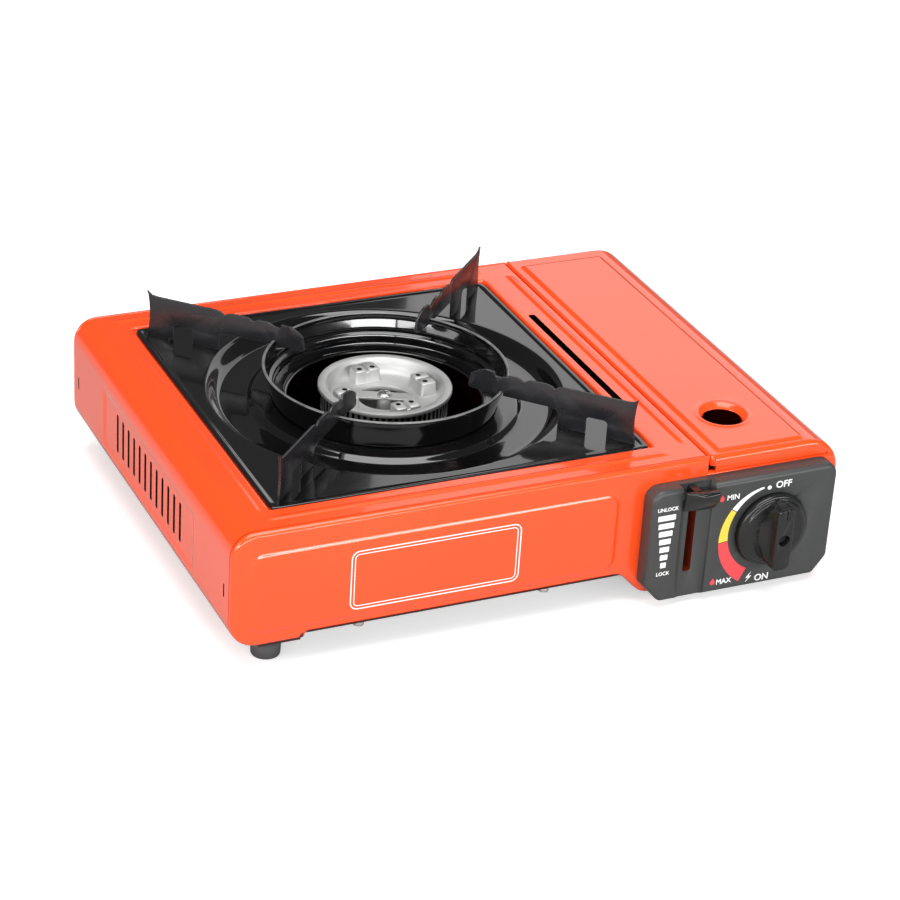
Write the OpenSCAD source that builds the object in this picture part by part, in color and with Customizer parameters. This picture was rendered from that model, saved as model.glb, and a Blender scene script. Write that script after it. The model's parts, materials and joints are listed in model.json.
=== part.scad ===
// Portable gas stove with one burner, a lift-off drip tray and a cartridge bay under a hinged lid.
// Origin in the middle of the footprint on the table, +X to the right, +Y to the back, +Z up.

/* [Body] */
// Width of the body over its side walls
body_w = 340; // [330:1:370]
// Depth of the body from front panel to rear panel
body_d = 255; // [245:1:285]
// Height of the deck above the table
deck_h = 80; // [78:1:92]
// Thickness of the pressed steel sheet
sheet = 1; // [0.8:0.1:1.2]
// Radius of the two long top edges
edge_r = 13; // [9:0.5:15]
// Radius of the lower left edge
lower_r = 12; // [9:0.5:14]
// Height of the burner box above the table
box_floor_h = 17.5; // [16:0.5:20]
// Height of the cartridge bay above the table
bay_floor_h = 5; // [4:0.5:7]
// Width of the lowered part that holds the bay and the controls
bay_w = 108; // [106:1:115]
// Radius of the bay's lower edges
bay_r = 10; // [7:0.5:12]

/* [Vents] */
// Number of vent slots in the left wall
vent_count = 12; // [8:1:14]
// Distance from one vent slot to the next
vent_pitch = 9.1; // [7:0.1:10]
// Length of a vent slot
vent_l = 22.5; // [15:0.5:25]
// Width of a vent slot
vent_w = 3; // [2:0.1:3.6]
// Height of the vent slots' middle below the deck
vent_drop = 33; // [28:0.5:36]

/* [Lid] */
// Width of the hinged lid
lid_w = 78; // [77:1:82]
// Radius of the lid's outer long edge
lid_edge_r = 19; // [13:0.5:19]
// Gap between the lid and the deck
seam_gap = 0.8; // [0.5:0.1:1.2]
// Depth of the lid's front and rear flanges
lid_flange = 8; // [6:0.5:10]
// Radius of the round hole in the lid
lid_hole_r = 10.5; // [8:0.5:12]
// Distance of the lid's hole from the front
lid_hole_y = 41; // [35:1:60]
// Height of the lid's raised field
lid_raise = 1; // [0.6:0.1:1.5]
// Distance from the deck down to the hinge axis
hinge_drop = 20; // [17:0.5:22]
// Radius of the hinge rod
hinge_rod_r = 1.2; // [1:0.1:1.3]
// Radius of the rolled hinge knuckles
knuckle_r = 2.8; // [2.6:0.1:3]

/* [Tray] */
// Side of the square drip tray
tray_size = 210; // [200:1:212]
// Distance of the tray's middle from the left face
tray_inset = 133; // [130:0.5:136]
// Depth of the tray's flat below the deck
tray_drop = 1; // [0.6:0.1:2]
// Thickness of the tray's sheet
tray_sheet = 1; // [0.8:0.1:1.2]
// Radius of the round dish in the tray
dish_r = 95.5; // [92:0.5:96]
// Depth of the dish below the tray's flat
dish_depth = 7; // [6:0.5:8]
// Radius of the tray's middle hole
tray_hole_r = 52; // [50:0.5:54]
// Radius of the wind ring's rim
ring_r = 66; // [65:0.5:68]
// Height of the wind ring's rim above the tray's flat
ring_h = 13.2; // [12.5:0.1:14]

/* [Pan supports] */
// Height of the supports above the tray's flat
support_h = 23.3; // [22:0.1:26]
// Height of the horn at a support's outer end above its top edge
horn_h = 2.7; // [2:0.1:4]
// Distance of a support's outer end from the burner's axis
support_reach = 140; // [137:0.5:141]
// Thickness of a support
support_t = 1.2; // [1:0.1:1.5]

/* [Burner] */
// Radius of the burner head
head_r = 36; // [34:0.5:38]
// Height of the burner head
head_h = 15; // [14:0.5:16]
// Height of the burner's rim above the deck
burner_rise = 1; // [0:0.5:3]
// Number of flame ports
port_count = 64; // [36:1:72]
// Radius of the burner cup
cup_r = 30; // [28:0.5:31]
// Height of the burner cup
cup_h = 28; // [26:0.5:30]
// Outer radius of the mixer tube
mixer_r = 9; // [8:0.5:10]

/* [Controls] */
// Depth of the control panel in front of the front panel
panel_proud = 10; // [9:0.5:12]
// Distance of the control panel's right end from the right face
panel_inset = 6; // [5:0.5:8]
// Width of the control panel
panel_w = 109.5; // [106:0.5:113]
// Distance of the control panel's top below the deck
panel_top_drop = 9.5; // [9:0.5:11]
// Height of the control panel's lower edge above the table
panel_low = 4.5; // [4:0.5:7]
// Wall of the control panel
panel_wall = 2.5; // [2:0.1:3]
// Radius of the knob
knob_r = 20.6; // [18:0.1:22]
// Height of the knob in front of the control panel
knob_h = 15; // [13:0.5:18]
// Width of the knob's grip bar
grip_w = 10; // [8:0.5:12]
// Distance of the knob's axis from the right face
knob_inset = 44; // [42:0.5:46]
// Height of the knob's axis above the table
knob_z = 38.5; // [37:0.5:41]
// Radius of the valve spindle
spindle_r = 3; // [2.5:0.1:3.5]
// Distance of the lever's slot from the right face
lever_inset = 90.7; // [90:0.1:92]
// Travel of the lock lever
lever_travel = 36; // [30:1:36]
// Travel of the cartridge pusher
pusher_travel = 8; // [6:0.5:8]

/* [Cartridge] */
// Radius of the gas cartridge that the bay takes
cartridge_r = 33.5; // [33:0.1:34]

/* [Feet] */
// Radius of the tall feet under the burner box
foot_r = 8.3; // [7:0.1:9]
// Radius of the low feet under the bay
low_foot_r = 7.5; // [6:0.1:8]
// Distance of the tall feet from the left face
foot_inset = 25.5; // [25:0.5:28]
// Distance of the feet from the front and the rear
foot_setback = 17.5; // [16:0.5:22]

/* [Hidden] */
$fn = 48;

// Clearances
slip = 0.1;
run_gap = 0.4;
tray_gap = 1;
eps = 0.5;

// Colours
paint = "orangered";
enamel = "#161616";
plastic = "#3a3b3a";
zinc = "silver";
alloy = "gainsboro";
brass = "goldenrod";

// Faces of the body
left_x = -body_w / 2;
right_x = body_w / 2;
front_y = (panel_proud + knob_h - body_d) / 2;
rear_y = front_y + body_d;
seam_x = right_x - lid_w;
seam_l = seam_x - seam_gap / 2;
seam_r = seam_x + seam_gap / 2;
seam_flange = 10;
lip_x = left_x + lower_r + 3;
lid_split = deck_h - lid_flange;
lid_edge_z = deck_h - lid_edge_r;
lid_split_a = asin((lid_split - run_gap - lid_edge_z) / lid_edge_r);

// Burner box floor and bay floor, upper faces
box_top = box_floor_h + 2 * sheet;
bay_top = bay_floor_h + sheet;
bay_left = right_x - bay_w;
drop_run = 20;
divider_y = front_y + 52;
field_press = 0.7;

// Tray
tray_x = left_x + tray_inset;
tray_y = front_y + body_d / 2;
tray_z = deck_h - tray_drop;
tray_half = tray_size / 2;
well_half = tray_half + tray_gap;
ledge_w = 7;
seat_z = tray_z - 4.5;
deck_slot_w = 4.2;
deck_slot_l = 112;
deck_strip = seam_l - tray_x - tray_half;
deck_slot_x = tray_x + tray_half + deck_strip / 3;

// Hinge of the lid
hinge_x = right_x - knuckle_r;
hinge_z = deck_h - hinge_drop;
lid_side_z = min(hinge_z, lid_edge_z - 1);
hinge_l = body_d - 60;
hinge_zones = 5;
zone_l = hinge_l / hinge_zones;

// Burner
burner_top = deck_h + burner_rise;
head_z = burner_top - head_h;
cup_z = head_z - cup_h;
cup_wall = 2.5;
mixer_z = cup_z + 12;
post_r = 4.5;
bowl_depth = 8;
floor_z = burner_top - bowl_depth;
head_hole_r = 14;
strip_t = 1.2;
bracket_t = 1.5;

// Controls
face_y = front_y - panel_proud;
panel_x1 = right_x - panel_inset;
panel_x0 = panel_x1 - panel_w;
panel_top = deck_h - panel_top_drop;
knob_x = right_x - knob_inset;
lever_x = right_x - lever_inset;
lever_drop = 14;
lever_z = deck_h - lever_drop;
slot_w = 4.6;
slot_z0 = lever_z - lever_travel - 10.5;
stem_w = 4;
stem_h = 6;
slot_z1 = lever_z + stem_h / 2 + eps;
slot_r = (slot_w - stem_w) / 2;
screw_r = 1.5;
screw_head_r = 2.8;
screw_head_h = 2;

// Cartridge bay
cradle_t = 1;
pusher_t = 1;
pusher_z = bay_top + cradle_t + run_gap / 2;
cartridge_x = (seam_r + right_x - sheet) / 2;
cartridge_z = pusher_z + pusher_t + run_gap + cartridge_r;

// Regulator and jet
bracket_y = front_y + 10;
regulator_y = bracket_y + 2;
regulator_l = 28;
regulator_back = regulator_y + regulator_l;
regulator_x0 = knob_x - 18;
regulator_x1 = knob_x + 22;
regulator_z0 = knob_z - 16;
regulator_z1 = knob_z + 20;
pipe_r = 3.5;
pipe_y = regulator_back - 6;
pipe_z = knob_z + 8;
jet_r = 6;
jet_x = bay_left + 8;
jet_run = [tray_x - jet_x, tray_y - pipe_y, 0];
jet_l = norm(jet_run);
jet_dir = atan2(jet_run.y, jet_run.x);

// Lever works behind the front panel
carriage_w = 8;
carriage_h = 14;
carriage_y0 = front_y + 2 * sheet + slip;
carriage_l = 15;
pin_r = 2;
pin_y = carriage_y0 + carriage_l - 3;
cam_x = lever_x + carriage_w / 2 + 2 * sheet + 1;
cam_t = 1.5;
guide_foot = bay_top + 8;
spring_r = 3.2;
spring_wire_r = 0.5;
spring_turns = 8;

// Electrode
electrode_a = 75;
electrode_reach = head_r + 5.5;
electrode_x = tray_x + electrode_reach * cos(electrode_a);
electrode_y = tray_y + electrode_reach * sin(electrode_a);
electrode_z = cup_z + 16;
insulator_r = 3;
insulator_h = 17;

// Route of the igniter lead, from the igniter's rear face to the foot of the electrode
lead_r = 1.1;
lead_z = box_top + 5;
piezo_x = regulator_x0 - 7;
piezo_back = regulator_y + 16;
lead_gate_y = front_y + 40;
lead_turn_r = 82;
function lead_at(a, r, z) = [tray_x + r * cos(a), tray_y + r * sin(a), z];
lead_route = concat([
    [piezo_x, piezo_back, lead_z], [piezo_x, piezo_back + 5, lead_z], [piezo_x - 9, lead_gate_y - 1, lead_z],
    [lever_x - 1, lead_gate_y + 1, lead_z], [bay_left - 6, lead_gate_y + 9, lead_z],
    lead_at(-36, lead_turn_r, lead_z)],
    [for (a = [-10, 26, 50]) lead_at(a, electrode_reach + (electrode_a - a) / 10, lead_z)], [
    lead_at(63, electrode_reach + 1, lead_z + 3), [electrode_x, electrode_y, lead_z + 12],
    [electrode_x, electrode_y, electrode_z]]);

function arc(c, r, a0, a1, n = 10) =
    [for (i = [0:n]) let (a = a0 + (a1 - a0) * i / n) c + r * [cos(a), sin(a)]];

function round_rect(x0, y0, x1, y1, r) = concat(
    arc([x1 - r, y0 + r], r, 270, 360), arc([x1 - r, y1 - r], r, 0, 90),
    arc([x0 + r, y1 - r], r, 90, 180), arc([x0 + r, y0 + r], r, 180, 270));

// A flat outline in X and Z, drawn out along Y
module along_y(y0, y1) translate([0, y1, 0]) rotate([90, 0, 0]) linear_extrude(y1 - y0) children();

// A flat outline in Y and Z, drawn out along X
module along_x(x0, x1) translate([x0, 0, 0]) rotate([90, 0, 90]) linear_extrude(x1 - x0) children();

// A box between two corners
module box(p, q) translate(p) cube(q - p);

// A round bar along Y from y0 to y1
module bar_y(x, z, r, y0, y1) translate([x, y1, z]) rotate([90, 0, 0]) cylinder(r = r, h = y1 - y0);

// A round tube swept along a list of points, its rings carried along without twist
function unit(v) = v / norm(v);
function tangent(p, i) = unit(p[min(i + 1, len(p) - 1)] - p[max(i - 1, 0)]);
function square_to(u, d) = unit(u - (u * d) * d);
function carried(p, u, i = 0) = i == len(p) ? []
    : let (w = square_to(u, tangent(p, i))) concat([w], carried(p, w, i + 1));
function tube_ring(c, d, u, r, n) =
    let (v = cross(d, u)) [for (k = [0:n - 1]) c + r * (u * cos(360 * k / n) + v * sin(360 * k / n))];
module tube(p, r, n) {
    rings = len(p);
    across = carried(p, [0.9, 0.3, 0.2]);
    end = (rings - 1) * n;
    points = [for (i = [0:rings - 1]) each tube_ring(p[i], tangent(p, i), across[i], r, n)];
    sides = [for (i = [0:rings - 2], k = [0:n - 1])
        let (a = i * n + k, b = i * n + (k + 1) % n) each [[a, a + n, b], [b, a + n, b + n]]];
    first = [for (k = [1:n - 2]) [0, k, k + 1]];
    last = [for (k = [1:n - 2]) [end, end + k + 1, end + k]];
    polyhedron(points, concat(sides, first, last));
}

// Outline of the front and rear panels, with the drop from the burner box to the bay as a cosine step
function drop_step(n = 12) = [for (i = [0:n]) let (t = i / n)
    [bay_left - drop_run + drop_run * t,
     box_floor_h - (box_floor_h - bay_floor_h) * (1 - cos(180 * t)) / 2]];
function end_points() = concat(
    arc([left_x + lower_r, box_floor_h + lower_r], lower_r, 180, 270), drop_step(),
    arc([right_x - bay_r, bay_floor_h + bay_r], bay_r, 270, 360),
    arc([right_x - lid_edge_r, lid_edge_z], lid_edge_r, 0, lid_split_a),
    [[seam_x, lid_split - run_gap], [seam_x, deck_h]],
    arc([left_x + edge_r, deck_h - edge_r], edge_r, 90, 180));

// The wrapper's section: lower lip, left wall, deck and seam flange
module shell_section() {
    low = [left_x + lower_r, box_floor_h + lower_r];
    top = [left_x + edge_r, deck_h - edge_r];
    polygon(concat(
        [[lip_x, box_floor_h]], arc(low, lower_r, 270, 180), arc(top, edge_r, 180, 90),
        [[seam_l, deck_h], [seam_l, deck_h - seam_flange], [seam_l - sheet, deck_h - seam_flange],
         [seam_l - sheet, deck_h - sheet]],
        arc(top, edge_r - sheet, 90, 180), arc(low, lower_r - sheet, 180, 270),
        [[lip_x, box_floor_h + sheet]]));
}

// A square column round the tray's middle
module tray_square(half, z0, z1)
    box([tray_x - half, tray_y - half, z0], [tray_x + half, tray_y + half, z1]);

// A raised bead on the deck, part of a round bar
module deck_bead(p, q) {
    bead_r = 3;
    bead_rise = 0.8;
    run = q - p;
    intersection() {
        translate([p.x, p.y, deck_h + bead_rise - bead_r]) rotate([0, 90, atan2(run.y, run.x)])
            cylinder(r = bead_r, h = norm(run));
        box([left_x, front_y, deck_h - sheet / 2], [right_x, rear_y, deck_h + bead_r]);
    }
}

// Field round the vents, pressed inwards
module vent_field(margin) {
    half_l = (vent_count - 1) * vent_pitch / 2 + 21;
    half_h = vent_l / 2 + 4.5;
    z = deck_h - vent_drop;
    polygon(round_rect(tray_y - half_l + margin, z - half_h + margin, tray_y + half_l - margin,
        z + half_h - margin, 5 - margin));
}

module vent_slots() {
    z = deck_h - vent_drop;
    for (i = [0:vent_count - 1]) {
        y = tray_y + (i - (vent_count - 1) / 2) * vent_pitch;
        along_x(left_x - eps, left_x + field_press + sheet + eps)
            polygon(round_rect(y - vent_w / 2, z - vent_l / 2, y + vent_w / 2, z + vent_l / 2, vent_w / 2.2));
    }
}

// Slits in the left wall that take the tabs of the end panels
tab_h = 7;
tab_w = 1.4;
tab_z = deck_h - 35;
tab_setback = 11;
module tab_slits() for (y = [front_y + tab_setback, rear_y - tab_setback])
    box([left_x - eps, y - tab_w / 2 - slip, tab_z - tab_h / 2 - slip],
        [left_x + sheet + eps, y + tab_w / 2 + slip, tab_z + tab_h / 2 + slip]);

module body_shell() color(paint) {
    ledge_z = tray_z - tray_sheet;
    front_bead_y = tray_y - tray_half - 9.5;
    side_bead_x = deck_slot_x + 0.3 * deck_strip;
    difference() {
        union() {
            difference() {
                along_y(front_y + sheet, rear_y - sheet) shell_section();
                along_x(left_x - eps, left_x + sheet + eps) vent_field(sheet);
            }
            along_x(left_x + field_press, left_x + field_press + sheet) vent_field(0);
            tray_square(well_half + sheet, ledge_z - sheet, deck_h);
            deck_bead([tray_x - tray_half, front_bead_y], [tray_x + tray_half, front_bead_y]);
            deck_bead([side_bead_x, tray_y - tray_half], [side_bead_x, tray_y + tray_half]);
        }
        tray_square(well_half, ledge_z, deck_h + eps);
        tray_square(tray_half - ledge_w, ledge_z - sheet - eps, deck_h);
        translate([0, 0, deck_h - sheet - eps]) linear_extrude(sheet + 2 * eps)
            polygon(round_rect(deck_slot_x - deck_slot_w / 2, tray_y - deck_slot_l / 2,
                deck_slot_x + deck_slot_w / 2, tray_y + deck_slot_l / 2, deck_slot_w / 2.2));
        vent_slots();
        tab_slits();
    }
}

// Flanges of an end panel: left with its tab, top, and bottom under the base plate
end_flange = 8;
foot_pad = 24;
base_screw_inset = 70;
base_screw_run = 103;
base_screw_x = [left_x + base_screw_inset, left_x + base_screw_inset + base_screw_run];
module end_flanges() {
    left_in = left_x + sheet;
    reach = sheet + tab_setback + 4;
    bottom_x0 = left_x + foot_inset + foot_pad / 2 + 2;
    box([left_in, sheet / 2, tab_z - 16], [left_in + sheet, reach, tab_z + 16]);
    box([left_x, tab_setback - tab_w / 2, tab_z - tab_h / 2],
        [left_in + sheet, tab_setback + tab_w / 2, tab_z + tab_h / 2]);
    box([left_x + edge_r, sheet / 2, deck_h - 2 * sheet],
        [deck_slot_x - 8, sheet + end_flange, deck_h - sheet]);
    difference() {
        box([bottom_x0, sheet / 2, box_floor_h],
            [bay_left - drop_run - 1, sheet + end_flange, box_floor_h + sheet]);
        for (x = base_screw_x) translate([x, sheet + end_flange / 2, box_floor_h - eps])
            cylinder(r = screw_r + slip, h = sheet + 2 * eps);
    }
}

module end_panel_blank() {
    along_y(0, sheet) polygon(end_points());
    end_flanges();
}

// Places of the four screws that hold the control panel
panel_screw_at = [
    [panel_x0 + 9, panel_top - 12], [panel_x0 + 12, panel_low + 22],
    [panel_x1 - 9, panel_top - 12], [panel_x1 - 9, panel_low + 18]
];

module front_panel() color(paint) {
    field_in = 9;
    field_rise = 1.2;
    difference() {
        union() {
            translate([0, front_y, 0]) end_panel_blank();
            along_y(front_y - field_rise, front_y + sheet / 2)
                polygon(round_rect(left_x + field_in, box_floor_h + 4, bay_left - drop_run - sheet,
                    deck_h - field_in - 2, 7));
        }
        along_y(front_y - eps, front_y + sheet + eps)
            polygon(round_rect(lever_x - slot_w / 2 - run_gap, slot_z0 - run_gap,
                lever_x + slot_w / 2 + run_gap, slot_z1 + run_gap, slot_r + run_gap));
        bar_y(knob_x, knob_z, spindle_r + 2 * run_gap, front_y - eps, front_y + sheet + eps);
        for (p = panel_screw_at) bar_y(p.x, p.y, screw_r + slip, front_y - eps, front_y + sheet + eps);
    }
}

module rear_panel() color(paint) {
    field_in = 14;
    field_low = box_floor_h + 5;
    field_top = lid_split - 7;
    corner = 7;
    difference() {
        translate([0, rear_y, 0]) mirror([0, 1, 0]) end_panel_blank();
        along_y(rear_y - sheet - eps, rear_y + eps) polygon(round_rect(left_x + field_in + sheet,
            field_low + sheet, right_x - field_in - sheet, field_top - sheet, corner - sheet));
    }
    along_y(rear_y - field_press - sheet, rear_y - field_press)
        polygon(round_rect(left_x + field_in, field_low, right_x - field_in, field_top, corner));
}

// Middles of the four feet
low_foot_inset = 26;
foot_at = [
    [left_x + foot_inset, front_y + foot_setback], [left_x + foot_inset, rear_y - foot_setback],
    [right_x - low_foot_inset, front_y + foot_setback], [right_x - low_foot_inset, rear_y - foot_setback]
];
pad_drop = 2.5;
pad_z = box_floor_h - pad_drop;

// Pressed pad under the base plate that carries a tall foot
module foot_pad_at(p) {
    side = p.y < tray_y ? 1 : -1;
    outer_y = side > 0 ? front_y + sheet + slip : rear_y - sheet - slip;
    inner_y = p.y + side * (foot_pad / 2 + 1);
    y0 = min(outer_y, inner_y);
    y1 = max(outer_y, inner_y);
    x0 = max(p.x - foot_pad / 2, lip_x + slip);
    x1 = p.x + foot_pad / 2;
    difference() {
        box([x0, y0, pad_z], [x1, y1, box_top]);
        box([x0 + sheet, y0 + sheet, pad_z + sheet], [x1 - sheet, y1 - sheet, box_top + eps]);
        translate([p.x, p.y, pad_z - eps]) cylinder(r = screw_r + slip, h = sheet + 2 * eps);
    }
}

module base_plate() color(paint) {
    x0 = left_x + lower_r + slip;
    difference() {
        box([x0, front_y + sheet, box_floor_h + sheet], [bay_left, rear_y - sheet, box_top]);
        for (i = [0, 1]) translate([foot_at[i].x, foot_at[i].y, box_floor_h])
            cube([foot_pad - 3, foot_pad - 3, 4 * sheet + eps], center = true);
        for (x = base_screw_x, y = [front_y + sheet + end_flange / 2, rear_y - sheet - end_flange / 2])
            translate([x, y, box_floor_h]) cylinder(r = screw_r + slip, h = 2 * sheet + eps);
        for (s = [-1, 1]) translate([tray_x, tray_y + s * bracket_foot_y, box_floor_h])
            cylinder(r = screw_r + slip, h = 2 * sheet + eps);
    }
    for (i = [0, 1]) foot_pad_at(foot_at[i]);
}

// Hinge zones: even ones belong to the lid, odd ones to the bay's right wall
function zone_y0(i) = tray_y - hinge_l / 2 + i * zone_l;
module bay_pan() color(paint) {
    wall_top = hinge_z - knuckle_r - run_gap;
    low_l = [bay_left + bay_r, bay_floor_h + bay_r];
    low_r = [right_x - bay_r, bay_floor_h + bay_r];
    difference() {
        union() {
            along_y(front_y + sheet, rear_y - sheet) polygon(concat(
                [[bay_left - 9, box_top + sheet], [bay_left - 9, box_top], [bay_left, box_top]],
                arc(low_l, bay_r, 180, 270), arc(low_r, bay_r, 270, 360),
                [[right_x, wall_top], [right_x - sheet, wall_top]],
                arc(low_r, bay_r - sheet, 360, 270), arc(low_l, bay_r - sheet, 270, 180),
                [[bay_left + sheet, box_top + sheet]]));
            for (i = [1:2:hinge_zones - 1]) {
                box([right_x - sheet, zone_y0(i) + run_gap / 2, wall_top - eps],
                    [right_x, zone_y0(i + 1) - run_gap / 2, hinge_z]);
                bar_y(hinge_x, hinge_z, knuckle_r, zone_y0(i) + run_gap / 2, zone_y0(i + 1) - run_gap / 2);
            }
        }
        bar_y(hinge_x, hinge_z, hinge_rod_r + slip / 2, front_y, rear_y);
        for (i = [2, 3]) translate([foot_at[i].x, foot_at[i].y, bay_floor_h - eps])
            cylinder(r = screw_r + slip, h = sheet + 2 * eps);
    }
}

module hinge_rod() color(zinc)
    bar_y(hinge_x, hinge_z, hinge_rod_r, tray_y - hinge_l / 2, tray_y + hinge_l / 2);

module bay_divider() color(zinc)
    box([seam_l - 2 * sheet, divider_y, bay_top],
        [seam_l - sheet, rear_y - sheet - field_press - slip, deck_h - sheet]);

// Middle strip of the bay floor, used by the cradle and the pusher
strip_w = 32;
cradle_gap = 4;
cradle_tail = 34;
cradle_y0 = divider_y + cradle_gap;
cradle_y1 = rear_y - cradle_tail;
module cartridge_cradle() color(zinc) {
    rail_x = 30;
    difference() {
        union() {
            box([cartridge_x - rail_x, cradle_y0, bay_top],
                [cartridge_x + rail_x, cradle_y1, bay_top + cradle_t]);
            for (s = [-1, 1]) {
                inner = cartridge_x + s * (strip_w / 2 + 1);
                outer = cartridge_x + s * rail_x;
                box([min(inner, outer), cradle_y0, bay_top], [max(inner, outer), cradle_y1, bay_top + 14]);
            }
        }
        bar_y(cartridge_x, cartridge_z, cartridge_r + run_gap, cradle_y0 - eps, cradle_y1 + eps);
    }
}

module cartridge_pusher() color(zinc) {
    top = pusher_z + pusher_t;
    cross_y0 = pin_y + 24;
    cross_y1 = cross_y0 + 12;
    tail_y = cradle_y1 + 8;
    box([cam_x, cross_y0, pusher_z], [cartridge_x + strip_w / 2, cross_y1, top]);
    box([cartridge_x - strip_w / 2, cross_y0, pusher_z], [cartridge_x + strip_w / 2, tail_y, top]);
    box([cartridge_x - strip_w / 2, tail_y - pusher_t, pusher_z],
        [cartridge_x + strip_w / 2, tail_y, cartridge_z]);
    along_x(cam_x, cam_x + cam_t) difference() {
        edge = pin_r + 2;
        y0 = pin_y - edge;
        y1 = pin_y + pusher_travel + edge;
        z1 = lever_z + edge;
        polygon([[y0, pusher_z], [cross_y1, pusher_z], [cross_y1, pusher_z + 8], [y1, pusher_z + 8],
            [y1, z1], [y0, z1]]);
        cam_slot();
    }
}

// Slanted slot that turns the lever's travel into the pusher's travel
module cam_slot() {
    run = [pusher_travel, -lever_travel];
    reach = pin_r + run_gap;
    translate([pin_y, lever_z]) {
        circle(r = reach);
        rotate(atan2(run.y, run.x)) translate([0, -reach]) square([norm(run), 2 * reach]);
        translate(run) circle(r = reach);
    }
}

module heat_plate() color(alloy) {
    half = 15;
    z1 = cup_z - bracket_t;
    x1 = seam_l - 2 * sheet;
    box([tray_x - half, tray_y - half, z1 - bracket_t], [x1, tray_y + half, z1]);
    box([x1 - bracket_t, tray_y - half, box_top + sheet], [x1, tray_y + half, z1]);
}

// Rubber feet with a countersunk hole
module foot(i) color("#2b2b2b") {
    r = i < 2 ? foot_r : low_foot_r;
    h = i < 2 ? pad_z : bay_floor_h;
    translate([foot_at[i].x, foot_at[i].y, 0]) difference() {
        cylinder(r1 = r - 0.8, r2 = r, h = h);
        translate([0, 0, -eps]) cylinder(r = screw_r + slip, h = h + 2 * eps);
        translate([0, 0, -eps]) cylinder(r = screw_head_r + slip, h = screw_head_h + 1 + eps);
    }
}

// A pan-head screw pointing along +Z with its head on the side of -Z
module screw(l) {
    translate([0, 0, -screw_head_h]) cylinder(r = screw_head_r, h = screw_head_h);
    cylinder(r = screw_r, h = l);
}

module foot_screws() color(zinc) for (i = [0:3]) {
    h = i < 2 ? pad_z : bay_floor_h;
    seat = screw_head_h + 1;
    translate([foot_at[i].x, foot_at[i].y, seat]) screw(h + sheet - seat);
}

module base_screws() color(zinc)
    for (x = base_screw_x, y = [front_y + sheet + end_flange / 2, rear_y - sheet - end_flange / 2])
        translate([x, y, box_floor_h]) screw(4);

panel_screw_l = 6;
module panel_screws() color(zinc) for (p = panel_screw_at)
    translate([p.x, front_y + sheet, p.y]) rotate([90, 0, 0]) screw(panel_screw_l);

// Outline of the control panel, drawn in by a margin
bl_x = 9.5;
bl_z = 10.5;
br_x = 8;
br_z = 10;
panel_r = 7;
function cut_z(i, a, b) = b + i * (norm([a, b]) - b) / a;
function cut_x(i, a, b) = a + i * (norm([a, b]) - a) / b;
function panel_points(i) = concat(
    [[panel_x0 + i, panel_low + cut_z(i, bl_x, bl_z)], [panel_x0 + cut_x(i, bl_x, bl_z), panel_low + i],
     [panel_x1 - cut_x(i, br_x, br_z), panel_low + i], [panel_x1 - i, panel_low + cut_z(i, br_x, br_z)]],
    arc([panel_x1 - panel_r, panel_top - panel_r], panel_r - i, 0, 90),
    arc([panel_x0 + panel_r, panel_top - panel_r], panel_r - i, 90, 180));

channel_l = 7;
channel_r = 10;
channel_depth = 2.5;
recess_depth = 1;
module control_panel() color(plastic) difference() {
    notch_l = 7.3;
    notch_r = 11.7;
    notch_z = lever_z - 2;
    notch_wall = 4;
    web_l = 16;
    web_w = 28.5;
    boss_r = 3.6;
    thread_l = 6;
    union() {
        difference() {
            along_y(face_y, front_y) polygon(panel_points(0));
            along_y(face_y + panel_wall, front_y + eps) difference() {
                polygon(panel_points(panel_wall));
                translate([lever_x - web_l, panel_low]) square([web_w, panel_top - panel_low]);
            }
        }
        for (p = panel_screw_at) bar_y(p.x, p.y, boss_r, face_y + panel_wall / 2, front_y);
    }
    along_y(face_y - eps, face_y + channel_depth)
        polygon([[lever_x - channel_l, panel_low - eps], [lever_x + channel_r, panel_low - eps],
            [lever_x + channel_r, notch_z + eps], [lever_x - channel_l, notch_z + eps]]);
    box([lever_x - notch_l, face_y - eps, notch_z],
        [lever_x + notch_r, front_y - notch_wall, panel_top + eps]);
    along_y(face_y - eps, front_y + eps)
        polygon(round_rect(lever_x - slot_w / 2, slot_z0, lever_x + slot_w / 2, slot_z1, slot_r));
    bar_y(knob_x, knob_z, knob_r + run_gap, face_y - eps, face_y + recess_depth);
    bar_y(knob_x, knob_z, spindle_r + run_gap, face_y - eps, front_y + eps);
    for (p = panel_screw_at) bar_y(p.x, p.y, screw_r + slip, front_y - thread_l, front_y + eps);
}

knob_back = face_y + recess_depth - run_gap;
knob_front = face_y - knob_h;
disc_front = face_y - 4;
spindle_front = face_y - 8;
knob_eye_r = 3.3;
module knob() color("#222322") difference() {
    union() {
        bar_y(knob_x, knob_z, knob_r, disc_front, knob_back);
        bar_y(knob_x, knob_z, knob_r - 2, disc_front - 1.2, disc_front);
        hull() {
            along_y(knob_front, knob_front + 1) grip_outline(grip_w / 2, 1.5);
            along_y(disc_front - 1, disc_front) grip_outline(grip_w / 2 + 2.5, 3);
        }
    }
    bar_y(knob_x, knob_z, spindle_r, spindle_front, knob_back + eps);
    bar_y(knob_x, knob_z, knob_eye_r, knob_front - eps, spindle_front - 1.5);
    bar_y(knob_x, knob_z, screw_r, spindle_front - 2, spindle_front + eps);
}
module grip_outline(half, r) {
    reach = knob_r - 2.6;
    polygon(round_rect(knob_x - half, knob_z - reach, knob_x + half, knob_z + reach, r));
}

module knob_screw() color(zinc) {
    head_y = spindle_front - 1.5;
    bar_y(knob_x, knob_z, screw_head_r, head_y - screw_head_h, head_y);
    bar_y(knob_x, knob_z, screw_r, head_y, spindle_front + 5);
}

module valve_spindle() color(brass) difference() {
    bar_y(knob_x, knob_z, spindle_r, spindle_front, regulator_y + 8);
    bar_y(knob_x, knob_z, screw_r, spindle_front - eps, spindle_front + 5);
}

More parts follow.
